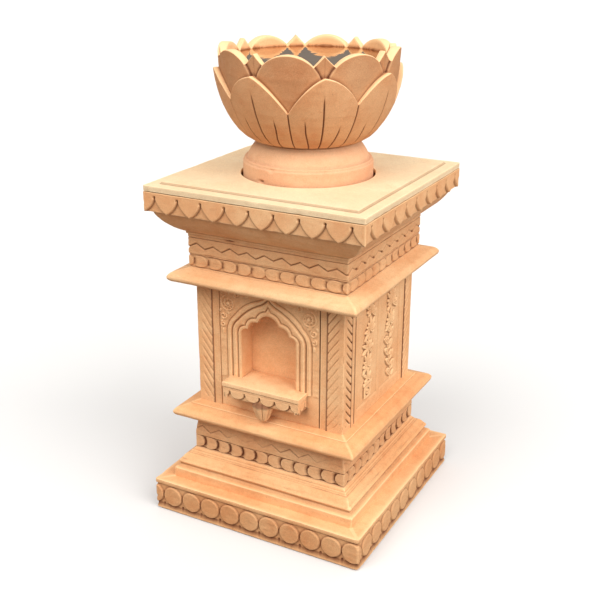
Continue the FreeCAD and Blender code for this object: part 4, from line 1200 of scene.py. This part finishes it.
def make_top_slab():
    rows = profile([(214.6, SLAB_FOOT), (214.6, 659.0), (SLAB_HALF, 659.1), (SLAB_HALF, SLAB_EDGE_TOP),
                    (197.8, SLAB_EDGE_TOP), (195.2, SLAB_TOP), (180.0, SLAB_TOP)], bands=((669.4, 673.4),),
                   spacing=3.0, soften=0.3)
    columns = 144
    half, level = rows.T
    share = np.linspace(-1.0, 1.0, columns)[None, :]
    flat_faces = [np.zeros((len(rows), columns))] * 4
    grid = square_ring(half[:, None], level[:, None], share, 2.4, flat_faces)
    ring = grid.shape[1]
    seam = (half < 218.5) & (level < 660.0)
    # painted shade on the riser of the raised middle and at inward bends; dark joint at the seam
    riser = 0.46 * ((level > 669.3) & (level < 672.9))
    shade = np.maximum(np.maximum(np.clip(-bends(rows), 0, 1) * 0.7, riser), seam)
    # painted highlight on convex edges, which also chip
    edge = np.repeat(np.clip(bends(rows), 0, 1) * np.where(level > 671.0, 0.3, 0.9), ring)
    points = grid.reshape(-1, 3)
    points = pushed_in(points, 1.1 * edge * smooth((noise(points, 14.0, 166) - 0.3) / 0.4))
    last = points[-ring:, :2]
    bearing = last / np.linalg.norm(last, axis=1)[:, None]
    rings = []
    for part in (0.15, 0.32, 0.5, 0.68, 0.84, 0.94):
        spots = last * (1 - part) + bearing * (WELL_RADIUS + 1.0) * part
        rings.append(np.column_stack([spots, np.full(ring, SLAB_TOP)]))
    for radius, up in ((WELL_RADIUS + 1.3, SLAB_TOP), (WELL_RADIUS + 0.4, SLAB_TOP - 0.3),
                       (WELL_RADIUS, SLAB_TOP - 1.2), (WELL_RADIUS, 665.0), (WELL_RADIUS, SLAB_FOOT)):
        rings.append(np.column_stack([bearing * radius, np.full(ring, up)]))
    # painted highlight on the well's lip and painted shade down inside the well
    edge = np.append(edge, np.repeat([0.0] * 6 + [0.7] * 3 + [0.0] * 2, ring))
    shade = np.append(np.repeat(shade, ring), np.repeat([0.0] * 9 + [0.9] * 2, ring))
    faces = grid_faces(len(rows) + len(rings), ring, True, wrap_rows=True)
    made = (np.concatenate([points] + rings), faces, {"edge": edge, "cavity": shade})
    piece("TopSlab", made, ("top_slab",), 161, slot="pale_sandstone", material=TOP_STONE)


# Pot foot
DRUM_RADIUS = 121.1


def make_pot_foot():
    columns = 320
    rows = profile([(60, SLAB_FOOT), (DRUM_RADIUS, SLAB_FOOT), (DRUM_RADIUS, 697.6), (118.9, 698.6),
                    (118.6, 703.0), (113.6, 703.8), (112.6, 706.0, -0.05), (95.2, 732.6), (94.2, BOWL_FOOT),
                    (60, BOWL_FOOT)], spacing=2.0, soften=2.2)

    def chipped(angle, level, radius):
        bite = smooth(1.2 - np.hypot((angle - math.radians(264.5)) * 121 / 7.5, (level - 697.5) / 4.5))
        chip = smooth(1.2 - np.hypot((angle - math.radians(253.5)) * 121 / 9.0, (level - 675.0) / 3.5))
        return radius - 2.2 * bite - 4.0 * chip

    grid = lathe(rows, columns, chipped)
    turn = bends(rows)
    # painted highlight on convex bends and painted light on the neck; painted shade at inward bends and
    # inside the chips
    pale = np.maximum(np.clip(turn, 0, 1) * 0.4, 0.34 * smooth((rows[:, 1] - 705.0) / 4.0))
    cut = np.repeat(rows[:, 0], columns) - np.hypot(grid[..., 0], grid[..., 1]).ravel()
    cavity = np.maximum(np.repeat(np.clip(-turn, 0, 1) * 0.2, columns), np.clip(cut / 3.0 - 0.7, 0, 0.8))
    foot = capped(grid.reshape(-1, 3), len(rows), columns, cavity=cavity, edge=np.repeat(pale, columns))
    piece("PotFoot", foot, ("pot_foot",), 171, "pot_foot", "pink_sandstone", amount=0.8)


# Lotus bowl
PETAL_STEP = 45.0        # degrees from one large petal to the next
HALF_PETAL = PETAL_STEP / 2
PETAL_REACH = 161.0
ROUND_PETAL = 62.0
PETAL_FOOT = 737.0       # where the outer tier starts
VESSEL_FOOT = 795.0      # where the inner tier's carving starts, behind the outer one
BOWL_FLOOR = 765.3
WATER_LEVEL = 884.0


def petal_angle(angle):
    """Degrees from the middle of the nearest large petal."""
    return (np.degrees(angle) - REST_ANGLE + HALF_PETAL) % PETAL_STEP - HALF_PETAL


def petal_index(angle):
    return np.floor((np.degrees(angle) - REST_ANGLE + HALF_PETAL) / PETAL_STEP).astype(np.int64) % 8


def round_gap(level):
    """Degrees from the middle of a small pointed petal to the round petal beside it, at a level."""
    below = np.clip(BOWL_RIM - level, 0.0, ROUND_PETAL)
    reach = np.sqrt(below * (2.0 * ROUND_PETAL - below))
    return HALF_PETAL - np.degrees(reach / PETAL_REACH)


def rim_level(angle):
    """Height of the inner tier's rim: round petals with a small pointed one between two of them."""
    away = np.abs(petal_angle(angle))
    across = np.radians(HALF_PETAL - away) * PETAL_REACH
    rounded = BOWL_RIM - ROUND_PETAL + np.sqrt(np.maximum(ROUND_PETAL ** 2 - across ** 2, 0.0))
    pointed = 904.5 - 2.6 * away - 0.9 * (1 - np.exp(-away / 1.2)) + 0.6 * jitter(petal_index(angle), 12)
    return np.maximum(rounded, pointed)


def outer_level(angle):
    """Height of the outer tier's edge, from the tips down to valleys that are low and high by turns."""
    away = np.abs(petal_angle(angle))
    low = np.floor((np.degrees(angle) - REST_ANGLE) / PETAL_STEP) % 2 < 0.5
    tip = 868.5 + 0.9 * jitter(petal_index(angle), 13)
    valley = np.where(low, 808.5, 822.0)
    sag = (tip - valley) * (away / HALF_PETAL) ** np.where(low, 1.5, 1.9)
    return tip - sag - 1.2 * (1.0 - np.exp(-away / 1.5))


def vessel_radius(level):
    return np.interp(level, (BOWL_FOOT, 760, 803, 832, 864, BOWL_RIM),
                     (94.5, 124, 147.5, 156.0, 161.5, 164.2))


def outer_radius(level):
    return np.interp(level, (BOWL_FOOT, 739, 747, 758, 772, 786, 803, 818, 832, 848, 864, 872),
                     (95.0, 104.5, 117.5, 129.0, 139.5, 147.8, 156.0, 161.2, 165.2, 168.8, 171.3, 172.0))


def inner_radius(level):
    return np.interp(level, (BOWL_FLOOR, 779, 813, 838, 864, BOWL_RIM), (70, 108, 130, 140.5, 147, 147.2))


def hatching(angle, level, seed):
    """Fine slanting tool marks, stronger in some places than in others."""
    angle, level = np.broadcast_arrays(angle, level)
    spots = np.stack([np.cos(angle) * 165, np.sin(angle) * 165, level], axis=-1).reshape(-1, 3)
    wander = noise(spots, 24.0, seed).reshape(level.shape)
    strength = smooth(0.5 + noise(spots, 31.0, seed + 1)).reshape(level.shape)
    return 0.16 * strength * np.sin((angle * 130 + level * 1.1 + 5.0 * wander) / 0.62)


class Rings:
    """Rows of points round the upright axis, from the outside in, with their shading."""

    def __init__(self, angle):
        self.angle = angle
        self.rows = ([], [], [], [], [])

    def add(self, level, reach, shade=0.0, rim=0.0, wet=0.0):
        shape = np.broadcast(np.asarray(level), np.asarray(reach), self.angle[None, :]).shape
        for rows, value in zip(self.rows, (level, reach, shade, rim, wet)):
            rows.append(np.broadcast_to(value, shape))

    def made(self):
        level, reach, shade, rim, wet = (np.concatenate(rows) for rows in self.rows)
        points = np.stack([reach * np.cos(self.angle), reach * np.sin(self.angle), level], axis=-1)
        fields = {"cavity": shade.ravel(), "edge": rim.ravel(), "wet": wet.ravel()}
        return points.reshape(-1, 3), len(level), fields


def make_bowl():
    """The inner tier: a vessel whose rim is carved into round and small pointed petals."""
    columns = 840
    angle = bearings(columns)
    away = petal_angle(angle)[None, :]
    rim = rim_level(angle)[None, :]
    up = VESSEL_FOOT + (rim - 2.0 - VESSEL_FOOT) * np.linspace(0.0, 1.0, 78)[:, None]
    radius = vessel_radius(up)
    width = radius * math.pi / 180
    gap = (np.abs(away) - round_gap(up)) * width
    spike = smooth(0.5 - gap / 1.6)
    side = np.clip((HALF_PETAL - np.abs(away)) / HALF_PETAL, 0, 1)
    carved = -3.4 * spike + 1.3 * (1 - spike) * (1 - side ** 2) - 0.5 + hatching(angle[None, :], up, 211)
    carved = carved + groove(gap, 1.5, 1.2) * (up > 846)
    carved = carved + groove(away * width, 1.2, 0.5) * smooth((up - 860) / 8)
    # darker all over, with painted shade added in the carving's hollows and below the outer tier's edge,
    # which shelters it
    sheltered = 1 - smooth((up - outer_level(angle)) / 9.0)
    cavity = np.clip(0.32 + 0.62 * hollows(carved, 3, 3, 1.7) + 0.3 * sheltered, 0, 1)
    outside = radius + carved
    rings = Rings(angle)
    for reach, level in ((12.0, 746.0), (60.0, 746.0), (100.0, 762.0), (132.0, 785.0)):
        rings.add(level, reach)
    # painted highlight on the carving's ridges
    rings.add(up, outside, cavity, 0.5 * ridges(carved, 3, 3, 1.4))
    wall = inner_radius(rim)
    # painted highlight on the top of the rim
    for outset, drop in ((0.4, 1.0), (1.5, 0.2), (4.0, 0.0), (8.0, -0.1)):
        rings.add(rim - drop, outside[-1:] - outset, 0.0, 1.0)
    for outset, drop in ((3.5, 0.0), (1.4, 0.2), (0.4, 1.0), (0.0, 2.4)):
        rings.add(rim - drop, wall + outset, 0.0, 0.8)
    share = np.concatenate([np.linspace(0.04, 0.3, 14), np.linspace(0.36, 1.0, 10)])[:, None]
    down = rim - 2.4 + (BOWL_FLOOR - rim + 2.4) * share
    spots = np.stack([np.cos(angle) * 147, np.sin(angle) * 147, np.zeros(columns)], axis=1)
    shore = WATER_LEVEL + 2.6 + 1.5 * noise(spots, 22.0, 190)[None, :]
    line = 0.25 * np.exp(-((down - shore + 1.0) / 1.6) ** 2)
    soaked = smooth((shore - down) / 1.6)
    rings.add(down, inner_radius(down), line, 0.45 * smooth((down - shore) / 3.0), soaked)
    for reach in (50.0, 30.0, 12.0):
        rings.add(765.2, reach, 0.0, 0.0, 1.0)
    points, count, fields = rings.made()
    vessel = capped(points, count, columns, **fields)
    piece("LotusBowl", vessel, ("lotus_bowl",), 181, "lotus_bowl", "pink_sandstone", amount=0.9,
          material=BOWL_STONE)
    make_outer_petals(angle)
    make_water()


def make_outer_petals(angle):
    """The outer tier of large pointed petals, which leaves the bowl below their tips."""
    columns = len(angle)
    away = petal_angle(angle)[None, :]
    brim = outer_level(angle)[None, :]
    up = PETAL_FOOT + (brim - 1.6 - PETAL_FOOT) * np.linspace(0.0, 1.0, 104)[:, None]
    radius = outer_radius(up)
    width = radius * math.pi / 180
    label = petal_index(angle)
    carved = (2.4 * (1.0 - (np.abs(away) / HALF_PETAL) ** 2.4) - 1.6) * smooth((up - 738) / 30.0)
    cuts = groove((HALF_PETAL - np.abs(away)) * width, 1.9, 2.6) * smooth((up - 736) / 5)
    cuts = cuts * smooth((brim + 2 - up) / 6)
    lean = 0.8 * jitter(label, 21)[None, :]
    top = 846.0 + 4.0 * jitter(label, 22)[None, :]
    fade = smooth((top - up) / 24.0)
    bow = 1.1 * np.sin((up - 740) / 34.0 + label[None, :])
    cuts = cuts + groove((away - lean * (up - 740) / 100 - 0.4 * bow) * width, 1.2 + 0.9 * fade, 2.8) * fade
    for side in (-1, 1):
        limit = 797.0 + 6.0 * jitter(label * 2 + side, 23)[None, :]
        fade = smooth((limit - up) / 22.0)
        stray = 0.7 * jitter(label + 3 * side, 24)[None, :] * (up - 740) / 60
        line = side * (9.6 + 2.2 * smooth((up - 738) / 40) + stray)
        cuts = cuts + groove((away - line - 0.4 * bow) * width, 1.2 + 0.8 * fade, 2.6) * fade
    carved = carved + cuts + hatching(angle[None, :], up, 221)
    # painted shade in the cuts and hollows, darker towards the tier's foot, which faces down
    cavity = np.maximum(np.clip(-cuts / 2.2, 0, 1), 0.5 * hollows(carved, 3, 4, 1.6))
    cavity = np.maximum(cavity, 0.26 * (1 - smooth((up - 745.0) / 40.0)))
    outside = radius + carved
    rings = Rings(angle)
    rings.add(736.0, 80.0)
    # painted shade on the ring under the tier's foot and where the tier meets the pot foot
    rings.add(735.5, 93.5, 0.5)
    cavity = np.maximum(cavity, 0.9 * (1 - smooth((up - 736.5) / 4.5)))
    # painted highlight on the carving's ridges
    rings.add(up, outside, cavity, 0.4 * ridges(carved, 3, 4, 1.4))
    last = outside[-1:]
    meet = np.minimum(vessel_radius(brim) - 0.6, last - 7.5)
    # painted highlight on the petals' top edges; painted shade where the tier meets the vessel
    for level, reach, shade, rim in ((brim - 0.6, last - 0.35, 0, 1), (brim, last - 1.3, 0, 1),
                                     (brim + 0.1, last - 3.5, 0, 0.9), (brim + 0.1, last - 6.5, 0, 0.7),
                                     (brim - 0.1, meet + 0.2, 0.6, 0), (brim - 0.6, meet - 3.0, 0, 0),
                                     (brim - 10.0, meet - 9.0, 0, 0), (770.0, 122.0, 0, 0)):
        rings.add(level, reach, float(shade), float(rim))
    points, count, fields = rings.made()
    tier = (points, grid_faces(count, columns, True, wrap_rows=True), fields)
    piece("OuterPetals", tier, ("lotus_bowl",), 185, "lotus_bowl", "pink_sandstone", amount=0.9,
          material=BOWL_STONE)


def make_water():
    columns = 192
    foot = WATER_LEVEL - 1.4
    rows = np.array([(20.0, foot), (90.0, foot), (146.0, foot), (146.9, foot + 0.6), (146.7, WATER_LEVEL),
                     (120.0, WATER_LEVEL), (80.0, WATER_LEVEL), (40.0, WATER_LEVEL), (12.0, WATER_LEVEL)])
    made = capped(lathe(rows, columns).reshape(-1, 3), len(rows), columns)
    piece("Water", made, (), 195, "lotus_bowl", "pink_sandstone", amount=0.15, material=WATER)


make_plinth()
make_base_moulding()
make_friezes()
make_cornices()
make_posts()
make_front_panel()
make_niche_back()
make_side_panels()
make_shelf()
make_bracket()
make_pendant()
make_soffit()
make_fringe()
make_top_slab()
make_pot_foot()
make_bowl()
for name in ("shaft_foot_dowels", "shaft_head_dowels"):
    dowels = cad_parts[name]
    dowels.data.materials.clear()
    dowels.data.materials.append(STEEL)


# Floor, light and camera
def make_floor():
    mesh = bpy.data.meshes.new("Floor")
    mesh.from_pydata([(-40, -40, 0), (40, -40, 0), (40, 40, 0), (-40, 40, 0)], [], [(0, 1, 2, 3)])
    floor = bpy.data.objects.new("Floor", mesh)
    bpy.context.scene.collection.objects.link(floor)
    floor.location.z = -0.0004
    nodes = Nodes(bpy.data.materials.new("PaleFloor"))
    path = nodes.add("ShaderNodeLightPath").outputs
    direct = nodes.maths("MAXIMUM", path["Is Camera Ray"], path["Is Glossy Ray"])
    direct = nodes.maths("MAXIMUM", direct, path["Is Transmission Ray"])
    colour = nodes.mix(direct, (0.17, 0.14, 0.115), (0.72, 0.72, 0.725))
    shader = {"Base Color": colour, "Roughness": 0.9, "Specular IOR Level": 0.1}
    mesh.materials.append(nodes.finished(nodes.add("ShaderNodeBsdfPrincipled", shader)))


LAMPS = (("Key", (0.78, -0.2, 0.6), 2.1, 50.0), ("Fill", (-0.12, -0.62, 0.78), 1.75, 40.0))


def make_light():
    """A world that is brighter from above and the right, and two wide soft lamps."""
    world = bpy.data.worlds.new("Studio")
    bpy.context.scene.world = world
    nodes = Nodes(world, "ShaderNodeOutputWorld")
    place = nodes.add("ShaderNodeTexCoord").outputs["Generated"]
    toward = nodes.add("ShaderNodeVectorMath", {0: place, 1: (0.42, -0.12, 0.9)}, operation="DOT_PRODUCT")
    rise = nodes.ramp(toward.outputs["Value"], -0.2, 1.0, 0.3, 1.0, "LINEAR")
    ambient = nodes.add("ShaderNodeBackground", {"Color": (1.0, 0.985, 0.955), "Strength": rise})
    seen = nodes.add("ShaderNodeBackground", {"Color": (0.8, 0.8, 0.81), "Strength": 1.0})
    path = nodes.add("ShaderNodeLightPath").outputs
    nodes.finished(nodes.blend(path["Is Camera Ray"], ambient, seen))
    for name, direction, strength, spread in LAMPS:
        lamp = bpy.data.lights.new(name, "SUN")
        lamp.energy = strength
        lamp.angle = math.radians(spread)
        lamp.color = (1.0, 0.975, 0.94)
        thing = bpy.data.objects.new(name, lamp)
        bpy.context.scene.collection.objects.link(thing)
        thing.rotation_euler = Vector(direction).to_track_quat("Z", "Y").to_euler()


def make_camera():
    """The photograph's view: its place and axes come from the plinth's edges."""
    camera = bpy.data.cameras.new("Camera")
    camera.lens = 59.4
    camera.sensor_width = 36.0
    camera.sensor_fit = "HORIZONTAL"
    camera.clip_start = 0.05
    camera.clip_end = 200.0
    thing = bpy.data.objects.new("Camera", camera)
    bpy.context.scene.collection.objects.link(thing)
    right = Vector((0.8805111, 0.4740218, 0.0018984))
    down = Vector((0.1735188, -0.3185848, -0.9318771))
    forward = Vector((-0.4411253, 0.8208575, -0.3627691))
    turn = Matrix((right, -down, -forward)).transposed()
    thing.matrix_world = Matrix.Translation((0.8442, -1.6028, 1.1198)) @ turn.to_4x4()
    bpy.context.scene.camera = thing


make_floor()
make_light()
make_camera()
bpy.context.scene.view_settings.view_transform = "Standard"
